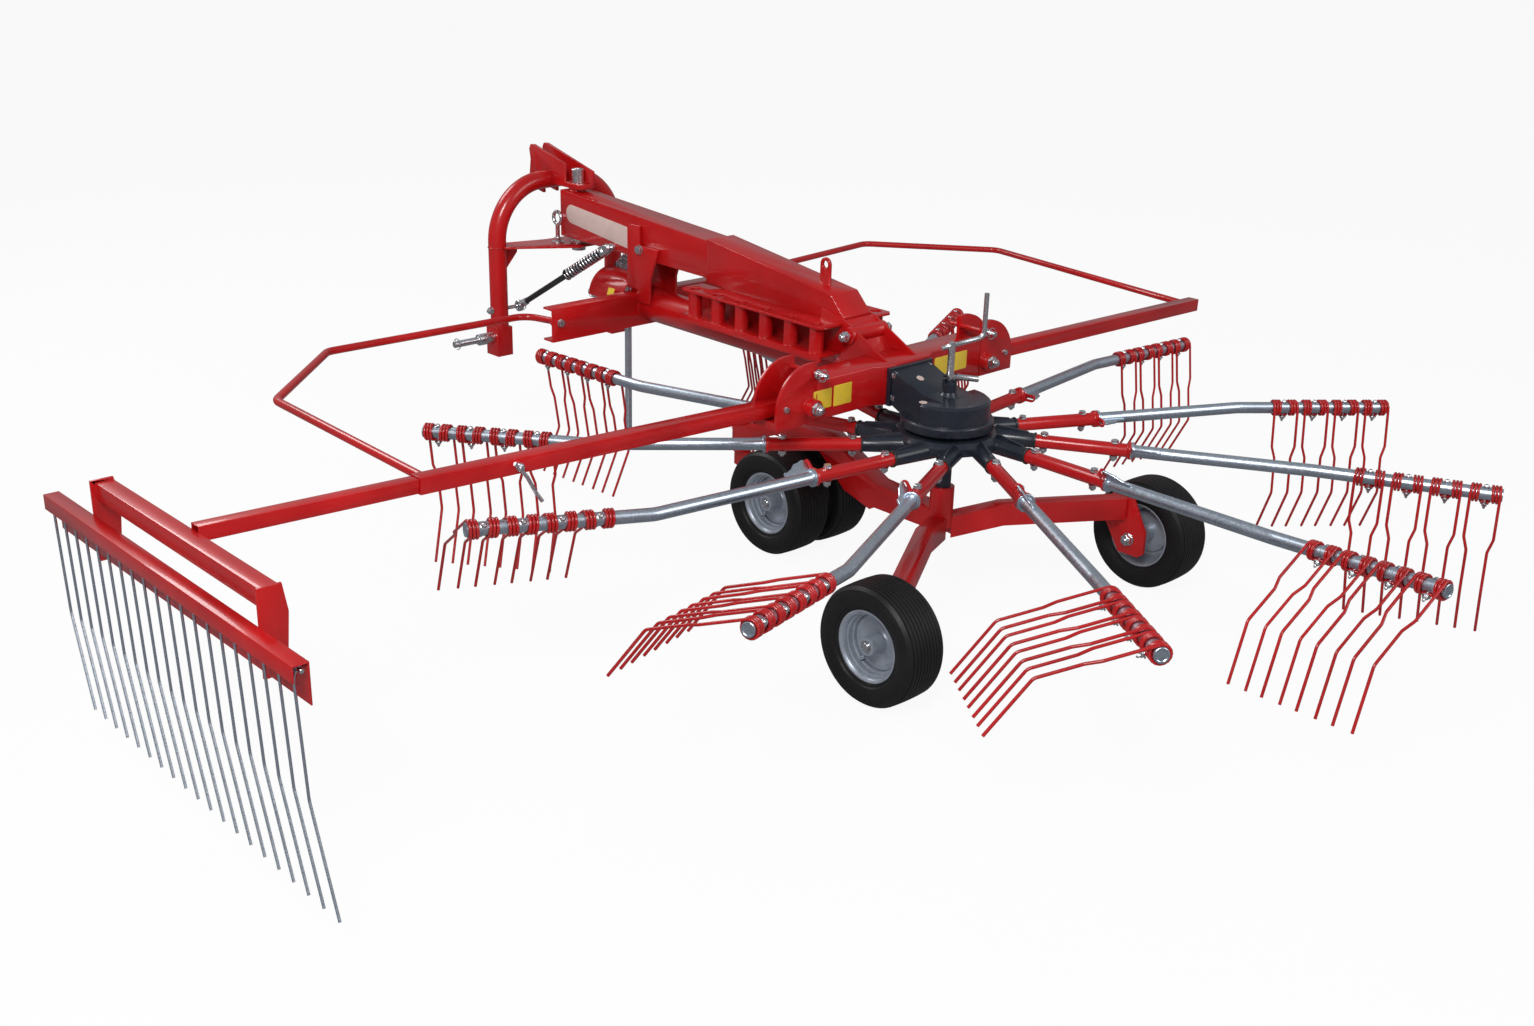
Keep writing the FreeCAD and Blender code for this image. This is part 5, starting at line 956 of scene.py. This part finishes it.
# %% Rims and wheels
RIM_SHELL = ((-6, -50), (5, -62), (5.4, -65.5), (1.5, -66), (-9, -53), (-14, -30), (-18, -8), (-21, 4), (-20.5, 24),
             (-16, 27), (-14.5, 42), (-9.5, 45), (-8, 57), (-4, 62), (1.5, 66), (5.4, 65.5), (5, 62), (-5, 50),
             (-14, 20), (-14, -20))        # radius beyond RIM, along the axle
RIM_DISH = ((95, 10), (88, 15), (78, 13), (72, 4), (58, -2), (46, -1), (38, 2), (32, 8), (30.5, 62), (28.5, 66),
            (21, 67), (20, 63), (13, 63), (13, -38), (30, -38), (31, -6), (56, -8), (76, -2), (82, 7), (95, 4))


def wheel(name, body, centre, side):
    shell = [(RIM + r, along * side) for r, along in RIM_SHELL]
    dish = [(r, along * side) for r, along in RIM_DISH]
    valve = centre + Vector((48, 10 * side, -66))
    tyre = turned("tyre_" + name, tyre_black, body, (tyre_profile(), 96, centre, Y), smooth_angle=32.0)
    rim = turned("rim_" + name, rim_silver, body, (shell, 72, centre, Y), (dish, 72, centre, Y), smooth_angle=34.0)
    turned("axle_end_" + name, bright_zinc, body,
           (solid((12.6, 63.5), (12.6, 68.0), (11.0, 70.0)), 24, centre, Y * side),
           ([(14.0, 63.2), (19.5, 63.2), (19.5, 65.2), (14.0, 65.2)], 28, centre, Y * side),
           (solid((5.5, 0), (5.5, 26), (4.2, 28)), 12, valve, Y * side))
    return tyre, rim


for name, side in (("left", 1), ("right", -1)):
    tyre, rim = wheel("rear_" + name, "wheel_rear_" + name, spot(-388, side * 711, TYRE), side)
    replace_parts(tyre, "tyre_rear_" + name)
    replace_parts(rim, "rim_rear_" + name)
for name, side in (("left", 1), ("right", -1)):
    tyre, rim = wheel("front_" + name, "front_wheels", spot(700, side * 107, TYRE), side)
    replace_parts(tyre, "tyres_front")
    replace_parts(rim, "rims_front")
print("tyre width in mm:", round(tyre.dimensions.y / MM, 1))

# %% [markdown]
# Small parts make the frame look built rather than drawn: hinge bolts, lock pins with linch pins, the beam's pivot
# bolts, the gearbox flange bolts. Their places follow the CAD dimensions in millimetres from the rotor axis.
# Each list holds a point, the direction the part faces and the thread size over ten.

# %% Bolts and nuts on the frame
HINGE_Y, HINGE_Z = 450, 750                # pivots of the side arms
LOCK_Y, LOCK_Z = 430, 862                  # pins that hold a lifted arm
TUBE_HEIGHT = 760                          # axis of the main tube and of the drive shaft
ARCH_X, STRUT_Z = 2206, 655                # feet of the headstock's arch, bolts of the struts


def set_of(name, model, spots, body):
    """Sets a model at (place, direction, size) spots given from the rotor axis, in mm."""
    return repeated(name, model, [(at(*place), facing(way), size) for place, way, size in spots],
                    bright_zinc, body, 30.0)


domes = [((182.5, s * HINGE_Y, HINGE_Z), -X, 2.1) for s in SIDES]
nuts = ([((333.2, s * HINGE_Y, HINGE_Z), X, 2.2) for s in SIDES]
        + [((1619.4, s * HINGE_Y, HINGE_Z), X, 1.7) for s in SIDES]
        + [((396, s * 101, 892), Y * s, 1.9) for s in SIDES])
heads = ([((213, s * 560, 762), -X, 1.1) for s in SIDES]
         + [((1579, s * HINGE_Y, HINGE_Z), -X, 1.6) for s in SIDES]
         + [((1560, s * 72, 990), Y * s, 1.9) for s in SIDES]
         + [((171, s * 88, z), -X, 1.5) for s in SIDES for z in (722, 802)])
set_of("frame_dome_nuts", dome_model, domes, "frame")
set_of("frame_nuts", nut_model, nuts, "frame")
set_of("frame_bolt_heads", bolt_model, heads, "frame")
set_of("lock_linch_pins", linch_model, [((176, s * LOCK_Y, LOCK_Z), -X, 1.2) for s in SIDES], "frame")
set_of("castor_nut", nut_model, [((1022, 0, 404), Z, 2.4)], "castor")
set_of("axle_nuts", nut_model, [((-388, s * 586.6, TYRE), Y * -s, 2.3) for s in SIDES], "frame")
set_of("arch_nuts", nut_model, [((ARCH_X, s * 338.5, STRUT_Z), Y * s, 1.6) for s in SIDES], "headstock")
set_of("hitch_linch_pins", linch_model, [((ARCH_X, s * 512, 540), Y * s, 1.3) for s in SIDES], "headstock")
print("frame fasteners:", len(domes) + len(nuts) + len(heads))

# %% [markdown]
# Labels on such a machine are thin film. They are left blank here, in the right places and colours:
# two pairs of yellow squares on the crossbeam, a long pale plate with one round end on the beam, and a yellow patch
# on the drive shaft guard. Each is a plate under a millimetre thick, the squares with rounded corners.

# %% Blank labels
FILM, FILM_EDGE = 0.7, 0.15
REAR_FACE, LEFT_FACE = axes(-Y, Z, -X), axes(-X, Z, Y)
SQUARES = ((435, 350, 799, 733), (340, 254, 802, 730), (-167, -250, 808, 735), (-258, -342, 809, 742))


def rounded_outline(points, corner, steps=4):
    """A closed outline with its corners rounded."""
    made = []
    for i, point in enumerate(points):
        here = Vector(point)
        into = (here - Vector(points[i - 1])).normalized()
        away = (Vector(points[(i + 1) % len(points)]) - here).normalized()
        made += [tuple(p) for p in curve_round(here - into * corner, here, here + away * corner, steps)]
    return made


yellow = [plate("label", [rounded_outline([(-left, bottom), (-right, bottom), (-right, top), (-left, top)], 5.0)],
                FILM, REAR_FACE, spot(212.7, 0, 0), FILM_EDGE) for left, right, top, bottom in SQUARES]
joined("crossbeam_labels", yellow, film_yellow, "frame")
beam_outline = [(-1643, 976.5), (-1643, 1062)] + arc(-2014, 1056.5, 38.5, 95, 265, 14)
joined("beam_plate", [plate("film", [beam_outline], 0.8, LEFT_FACE, spot(0, 60.4, 0), FILM_EDGE)],
       film_pale, "frame")


def guard_label():
    """A patch that follows the round guard."""
    build = bmesh.new()
    section = ((104.1, 1694), (104.1, 1732), (104.9, 1732), (104.9, 1694))
    skin(build, [[build.verts.new(at(x, r * math.cos(a), TUBE_HEIGHT + r * math.sin(a))) for r, x in section]
                 for a in [math.radians(6 + 22 * i / 8) for i in range(9)]])
    return build


piece("guard_label", guard_label(), film_yellow, "frame")
print("blank labels:", len(SQUARES) + 2)

# %% [markdown]
# The drive shaft end has six splines, cut by sweeping a toothed outline along the shaft. A black rubber edge
# protects the rim of the guard above it. The outline alternates between the root and the tip radius.

# %% Drive shaft splines and guard edge
SPLINES = 6
TOOTH = ((-20, 14.6), (-16, 17.3), (16, 17.3), (20, 14.6))                # degrees, radius
SHAFT_STEPS = ((1639.2, 1.0), (1690.0, 1.0), (1691.5, 0.86), (1698.5, 0.86), (1700, 1.0), (1724.5, 1.0),
               (1726.6, 0.9))              # place along the shaft, share of the radius


def splined_shaft():
    build = bmesh.new()
    teeth = [(radius, math.radians(60 * tooth + angle)) for tooth in range(SPLINES) for angle, radius in TOOTH]
    skin(build, [[build.verts.new(at(x, r * math.cos(a) * share, TUBE_HEIGHT + r * math.sin(a) * share))
                  for r, a in teeth] for x, share in SHAFT_STEPS])
    spun(build, solid((21.2, 0), (21.2, 58), (20.2, 59.2)), 32, spot(1580, 0, TUBE_HEIGHT), X)
    return build


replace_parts(piece("drive_shaft_end", splined_shaft(), bright_zinc, "frame", 25.0), "pto_shaft")
edge = bmesh.new()
swept(edge, ring_path(spot(1847.5, 0, TUBE_HEIGHT), X, 101.6, 24, 0.0, 180.0), 2.3)
piece("guard_edge", edge, dark_plastic, "frame")
print("splines:", SPLINES)

# %% [markdown]
# Two spring struts hold the headstock straight. Each has a plated fork on the beam and a coil spring over a dark
# tube, and these three swing together. A spring could be a ribbed texture on a tube, but a real helix lets light
# catch every turn, and it is only one more path for the wire helper.

# %% Upper part of a centring strut
STRUT_TOP = (1739, 86, 968)                # the fork's bolt, mirrored for the right strut
STRUT_EYE = (ARCH_X, 200, STRUT_Z)
SPRING_TURNS, SPRING_FROM, SPRING_TO, SPRING_RADIUS, SPRING_WIRE = 13, 44.0, 258.0, 19.6, 4.3
SPRING_STEPS = 14                          # points in one turn


def mirrored(place, side):
    return spot(place[0], side * place[1], place[2])


def strut_guide(name, body, top, run, side):
    """Spring, tube and fork of one strut. The lengths in its profiles run down from the fork's bolt."""
    across = (Y - run * run.y).normalized()
    other = run.cross(across)
    coil = bmesh.new()
    steps = SPRING_TURNS * SPRING_STEPS
    path = []
    for i in range(steps + 1):
        a = 2 * math.pi * i / SPRING_STEPS
        path.append(top + run * (SPRING_FROM + (SPRING_TO - SPRING_FROM) * i / steps)
                    + (across * math.cos(a) + other * math.sin(a)) * SPRING_RADIUS)
    swept(coil, path, SPRING_WIRE, 6)
    spring = piece("strut_spring_" + name, coil, bright_zinc, body, 60.0)
    tube = turned("strut_tube_" + name, dark_plastic, body,
                  ([(12.4, 60), (12.4, 260), (14.6, 260), (15.4, 259), (15.4, 30), (12.4, 30)], 28, top, run),
                  ([(12.6, 257), (12.6, 262), (23.6, 262), (24.0, 261), (24.0, 258), (23.6, 257)], 28, top, run))
    cheek = arc(0, 0, 16.5, 90, 270, 10) + [(30, -20.5), (44, -20.5), (47, -15), (47, 15), (44, 20.5), (30, 20.5)]
    hole = arc(0, 0, 6.0, 0, 337.5, 15)
    parts = [plate("cheek", [cheek, hole], 5.5, axes(run, -other, across), top + across * off, 1.0)
             for off in (-12.5, 12.5)]
    parts.append(turned_model("core", (solid((17.5, 26), (20.5, 29), (20.5, 42), (19, 44)), 28, top, run),
                              (rod(7.4, -15.5, 15.5), 16, top, across),
                              (solid((12, 15.3), (12, 22), (10.5, 23.5)), HEX, top, across * side),
                              (rod(10, 15.3, 17), 16, top, across * -side)))
    return spring, tube, joined("strut_fork_" + name, parts, bright_zinc, body, 30.0)


print("spring rises in one turn, mm:", round((SPRING_TO - SPRING_FROM) / SPRING_TURNS, 2))

# %% [markdown]
# A rod with an eye on the bolt of the arch slides in each strut's tube, so it rides on a body of its own.
# Rod and eye follow the line from the fork to the arch, which is worked out once for each side.

# %% Strut rods, and both struts set in place
def strut_rod(name, body, top, eye, run, side):
    length = (eye - top).length
    shaft = turned("strut_shaft_" + name, dark_plastic if side > 0 else casting_black, body,
                   (rod(12.0, 130, length - 40), 24, top, run))
    ring = [(13.2, -9), (21.5, -9), (23.8, -7), (23.8, 7), (21.5, 9), (13.2, 9)]
    head = turned("strut_eye_" + name, bright_zinc, body, (ring, 32, eye, Y),
                  (solid((15.5, length - 50), (16.5, length - 48), (16.5, length - 22)), HEX, top, run),
                  smooth_angle=30.0)
    return shaft, head


for name, side in (("right", -1), ("left", 1)):
    top, eye = mirrored(STRUT_TOP, side), mirrored(STRUT_EYE, side)
    run = (eye - top).normalized()
    for obj in strut_guide(name, "strut_guide_" + name, top, run, side):
        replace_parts(obj, "strut_guide_" + name)
    for obj in strut_rod(name, "strut_rod_" + name, top, eye, run, side):
        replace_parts(obj, "strut_rod_" + name)
set_of("strut_linch_pins", linch_model, [((ARCH_X, s * 183, STRUT_Z), Y * -s, 1.1) for s in SIDES], "headstock")
print("strut length in mm:", round((eye - top).length, 1), "spring turns:", SPRING_TURNS)

# %% [markdown]
# The headstock's pins: a plated tube caps the swing pin above its red collar, the top link pin lies across the two
# horned plates with a head at one end and a linch pin at the other, and an eye bolt stands on the lower plate.

# %% Headstock pins and eye bolt
swing_axis = spot(2051, 0, 0)
link_middle = spot(2290, 0, 1150)
cap = [(14, 1176), (26, 1176), (26, 1230), (24.6, 1231.5), (17.5, 1231.5), (16, 1225), (14, 1225)]
turned("swing_pin_cap", bright_zinc, "headstock", (cap, 32, swing_axis), (rod(16, 1176, 1225), 24, swing_axis))
turned("top_link_pin", dark_plastic, "headstock",
       (solid((12.4, -60), (12.4, 66), (11, 68)), 28, link_middle, Y),
       (solid((19, -68), (20, -67), (20, -59), (19, -58)), 28, link_middle, Y))


def eye_bolt(foot):
    """A ring on a threaded shank, held by a nut above the plate and one below."""
    build = bmesh.new()
    swept(build, ring_path(foot + Z * 100, -Y, 26, 28), 7.5, 12)
    for profile, steps in ((solid((9, -24), (9, 68), (11, 72), tip=74), 20), (rod(26, 0, 3), 28),
                           (solid((17, 3), (17, 17), (15, 19)), HEX), (rod(17, -24, -10), HEX)):
        spun(build, profile, steps, foot)
    return build


eye_piece = piece("eye_bolt", eye_bolt(spot(2112, 62, 926)), bright_zinc, "headstock", 34.0)
turned("swing_stop", bright_zinc, "headstock", (rod(11, -32, -8.2), 24, spot(2100, -30, 926)))
set_of("top_link_linch", linch_model, [((2290, 60, 1150), Y, 1.1)], "headstock")
print("eye bolt height in mm:", round(eye_piece.dimensions.z / MM, 1))

# %% [markdown]
# The curtain's wires hang from a rod in the rail. Each ends in a hook of one turn round the rod, runs down, and
# bends back in its lower half. All twenty are the same wire, set along the rod by the tree.

# %% Curtain wires
ROD_Y, ROD_Z = 2627.7, 722.7
WIRE_COUNT, FIRST_WIRE, WIRE_SPACING = 20, -370, 70.526
HOOK_RADIUS, HOOK_SHIFT, HOOK_STEPS = 10.3, 7.6, 26


def curtain_wire():
    build = bmesh.new()
    path = []
    for i in range(HOOK_STEPS + 1):
        left = (HOOK_STEPS - i) / HOOK_STEPS
        a = math.radians(160 - 380 * left)
        path.append(Vector((HOOK_SHIFT * left, HOOK_RADIUS * math.cos(a), HOOK_RADIUS * math.sin(a))))
    down = [Vector((0, HOOK_RADIUS, -14)), Vector((-28, 11, -321)), Vector((-157, 26, -575))]
    swept(build, path[:-1] + eased([path[-1]] + down, 40.0, 5), 3.9)
    return new_object("curtain_wire_model", outward(build))


wire_model = curtain_wire()
wires = repeated("curtain_wires_hung", wire_model,
                 [(at(FIRST_WIRE + WIRE_SPACING * i, ROD_Y, ROD_Z), Matrix.Identity(3), 1.0)
                  for i in range(WIRE_COUNT)], wire_steel, "curtain", 60.0)
drop(wire_model)
curtain_rod = turned("curtain_rod", bright_zinc, "curtain",
                     (solid((5.2, -694.5), (6, -693.5), (6, 693.5), (5.2, 694.5)), 20, spot(300, ROD_Y, ROD_Z), X))
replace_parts(curtain_rod, "curtain_wires")
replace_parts(wires, "curtain_wires")
print("curtain wires:", WIRE_COUNT)

# %% [markdown]
# A clamp on the left arm's rear face locks the sliding curtain tube: a threaded boss, a pin and a bent handle.
# Two pale discs on the gearbox and a crown of bolts, crossed by the height crank's pin, are the other small parts.

# %% Clamp handle, gearbox discs and crank boss
def clamp_handle():
    build = bmesh.new()
    pivot = spot(255, 1590, 790)
    spun(build, solid((13, -2), (13, 20), (11.5, 21.5)), 24, pivot, -X)
    spun(build, solid((9, 21), (9, 27), (8, 28)), HEX, pivot, -X)
    lever = [spot(*p) for p in ((236, 1611, 807), (234, 1592, 786), (231, 1572, 758), (229, 1545, 705),
                                (222, 1528, 677))]
    swept(build, eased(lever, 20.0, 4), 6.0, 12)
    return build


piece("clamp_handle", clamp_handle(), bright_zinc, "left_arm")
disc = solid((14, 0), (13.4, 1.4), tip=1.6)
turned("gearbox_discs", film_pale, "frame", (disc, 24, spot(10, 118, 751.1), Z),
       (disc, 24, spot(112, 22, 793.5), Vector((-0.36, 0, 0.93))))
crown_bolt = solid((6.4, 0), (6.4, 15), (5.2, 16.5))
crown = [(crown_bolt, HEX, spot(19 * math.cos(a), 19 * math.sin(a), 801.2))
         for a in [math.radians(60 * i) for i in range(6)]]
turned("crank_boss_crown", casting_black, "frame", *crown,
       (rod(5.2, -24, 24), 14, spot(0, 0, 826), Vector((0.5, 0.85, 0))), smooth_angle=30.0)
print("bolts round the crank:", len(crown))

# %% [markdown]
# Welds are what tells a welded frame from a moulded one. A bead is a wire whose radius ripples, laid along each joint
# and painted over. Rings go round the tubes and straight beads along the plates.

# %% Weld beads
BEAD_STEP = 4.0                            # mm between two rings of a bead
RIPPLE, WANDER = 0.16, 0.12                # how much every second ring is thinner, how much all of them vary


def bead(build, path, radius):
    """A rippled wire along a path."""
    points = [path[0]]
    for a, b in zip(path, path[1:]):
        count = max(1, round((b - a).length / BEAD_STEP))
        points += [a + (b - a) * (i + 1) / count for i in range(count)]
    swept(build, points, [radius * (1.0 - RIPPLE * (i % 2) + WANDER * noise.noise(point * 0.05))
                          for i, point in enumerate(points)], 6)


beads, head_beads = bmesh.new(), bmesh.new()
for x in (334.5, 1577.5):
    bead(beads, ring_path(spot(x, 0, TUBE_HEIGHT), X, 66.8), 3.6)
for s in SIDES:
    bead(beads, [spot(1164, s * 60.6, 1000), spot(1164, s * 60.6, 1083)], 2.4)
    bead(beads, ring_path(spot(212.4, s * HINGE_Y, HINGE_Z), -X, 31.6), 2.8)
    bead(beads, [spot(213.2, s * 421, 697), spot(213.2, s * 421, 790)], 2.4)
    bead(beads, [spot(1640.0, s * 60.6, 806), spot(1640.0, s * 60.6, 850)], 2.4)
    for i in range(6):
        bead(beads, ring_path(spot(490 + 129 * i, s * 150, 826.2), Z, 26.6, 36), 2.0)
    bead(head_beads, ring_path(spot(ARCH_X, s * 302, 917.6), Z, 37.6, 36), 2.8)
    bead(head_beads, [spot(2170, s * 338, 584.5), spot(2250, s * 338, 584.5)], 2.4)
bead(beads, ring_path(spot(1022, 0, 318.0), Z, 39.8, 40, 90, 270), 2.6)
welds = piece("weld_beads_frame", beads, frame_red, "frame", 60.0)
piece("weld_beads_headstock", head_beads, frame_red, "headstock", 60.0)
print("bead triangles:", sum(len(p.vertices) - 2 for p in welds.data.polygons))

# %% [markdown]
# The lock pins hold the side arms when they are lifted. Each is one turned pin with a collar.
# They are the last of the fasteners, so the patterns of bolts and nuts leave the scene here.

# %% Lock pins
LOCK_PIN = solid((8.2, -3), (9.8, -1), (9.8, 38), (15, 38), (16, 39), (16, 44), (15, 45), (9.8, 45), (9.8, 52))
turned("lock_pins_plated", bright_zinc, "frame",
       *((LOCK_PIN, 24, spot(160, s * LOCK_Y, LOCK_Z), X) for s in SIDES), smooth_angle=34.0)
drop(bolt_model, nut_model, dome_model, linch_model)

# %% [markdown]
# The stage is a plain pale floor under soft studio light. To the camera, floor and world are simply white: a light
# path node tells them which ray is asking. Glossy paint sees a little of the world's white, and sees the floor as a
# fixed dark grey glow, a painted dark reflection.
# The floor mixes white with its own shade, so it keeps a soft shadow without turning the picture grey.

# %% Floor
def pale_floor():
    build = bmesh.new()
    bmesh.ops.create_grid(build, x_segments=1, y_segments=1, size=80.0)
    bmesh.ops.translate(build, verts=build.verts, vec=(0, 0, -0.0005))
    floor = new_object("floor", build)
    paint = Paint("pale_floor")
    paint.set(Base_Color=colour(0.80, 0.80, 0.80), Roughness=0.7)
    rays = paint.node("ShaderNodeLightPath", output="Is Camera Ray")
    glossy = paint.node("ShaderNodeLightPath", output="Is Glossy Ray")
    # Camera rays see white. Glossy rays see mostly a fixed dark grey, a painted dark reflection of the floor in the
    # paint.
    seen = paint.blend(rays, colour(0.10, 0.10, 0.11), colour(1, 1, 1))
    glow = paint.node("ShaderNodeEmission", {}, {"Color": seen, "Strength": 1.0})
    paint.overlay((rays * 0.93 + glossy * 0.85).clamped(), glow, "Material Output")
    floor.data.materials.append(paint.material)
    floor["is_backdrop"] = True
    return floor


print("floor across in metres:", pale_floor().dimensions.x)

# %% [markdown]
# One large lamp above the machine's left makes the shapes, a weak one fills from behind, and a third draws a rim from
# the front. The world fills the shadows, and glossy paint sees only a little of its white, or it would look milky.

# %% World and lamps
def studio_world():
    world = bpy.data.worlds.new("studio")
    sky = Paint("studio", world)
    sky.set(Color=colour(0.93, 0.95, 1.0), Strength=0.24)
    rays = sky.node("ShaderNodeLightPath", output="Is Camera Ray")
    glossy = sky.node("ShaderNodeLightPath", output="Is Glossy Ray")
    seen = rays.maths("MAXIMUM", rays, glossy * 0.12, True)
    sky.overlay(seen, sky.node("ShaderNodeBackground", {}, {"Strength": 1.0}), "World Output")
    bpy.context.scene.world = world


def lamp(name, place, size, power):
    light = bpy.data.lights.new(name, "AREA")
    light.shape = "DISK"
    light.size = size
    light.energy = power
    obj = linked(name, light)
    obj.location = place
    obj.rotation_euler = (Z * 0.5 - obj.location).to_track_quat("-Z", "Y").to_euler()


studio_world()
lamp("key", (-3.5, 5.5, 6.0), 3.2, 480.0)
lamp("left_fill", (-6.0, -2.5, 4.5), 4.0, 120.0)
lamp("front_rim", (5.5, 1.5, 5.0), 3.0, 150.0)
bpy.context.scene.view_settings.view_transform = "Standard"
print("lamps:", len(bpy.data.lights))

# %% [markdown]
# The camera stands behind the machine on its left, a little above the beam, and tips slightly to one side.
# Its three axes are built from the direction it looks in, so each angle is a number with a meaning.

# %% Camera
TURN, TIP, ROLL = math.radians(-43.9), math.radians(-21.24), math.radians(1.59)
LENS = 38.85                               # mm, for a sensor 36 mm wide


def studio_camera():
    forward = Vector((math.cos(TURN) * math.cos(TIP), math.sin(TURN) * math.cos(TIP), math.sin(TIP)))
    right = forward.cross(Z).normalized()
    up = right.cross(forward)
    level = right * math.cos(ROLL) + up * math.sin(ROLL)
    upright = up * math.cos(ROLL) - right * math.sin(ROLL)
    data = bpy.data.cameras.new("camera")
    data.sensor_width = 36.0
    data.lens = LENS
    data.clip_end = 100.0
    obj = linked("camera", data)
    obj.matrix_world = Matrix.Translation(at(-3454, 4162, 2399)) @ axes(level, upright, -forward).to_4x4()
    bpy.context.scene.camera = obj


studio_camera()
print("camera lens in mm:", LENS)

# %% [markdown] Last, the dressed machine is measured against the CAD model's box. It has to stay
# inside it.

# %% Measure and finish
dressed_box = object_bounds()
sizes = {"cad": [list(map(float, corner)) for corner in cad_box],
         "dressed": [list(map(float, corner)) for corner in dressed_box]}
for label, cad_corner, new_corner in zip(("low", "high"), sizes["cad"], sizes["dressed"]):
    print(label, "moved by mm:", [round((b - a) * 1000, 1) for a, b in zip(cad_corner, new_corner)])
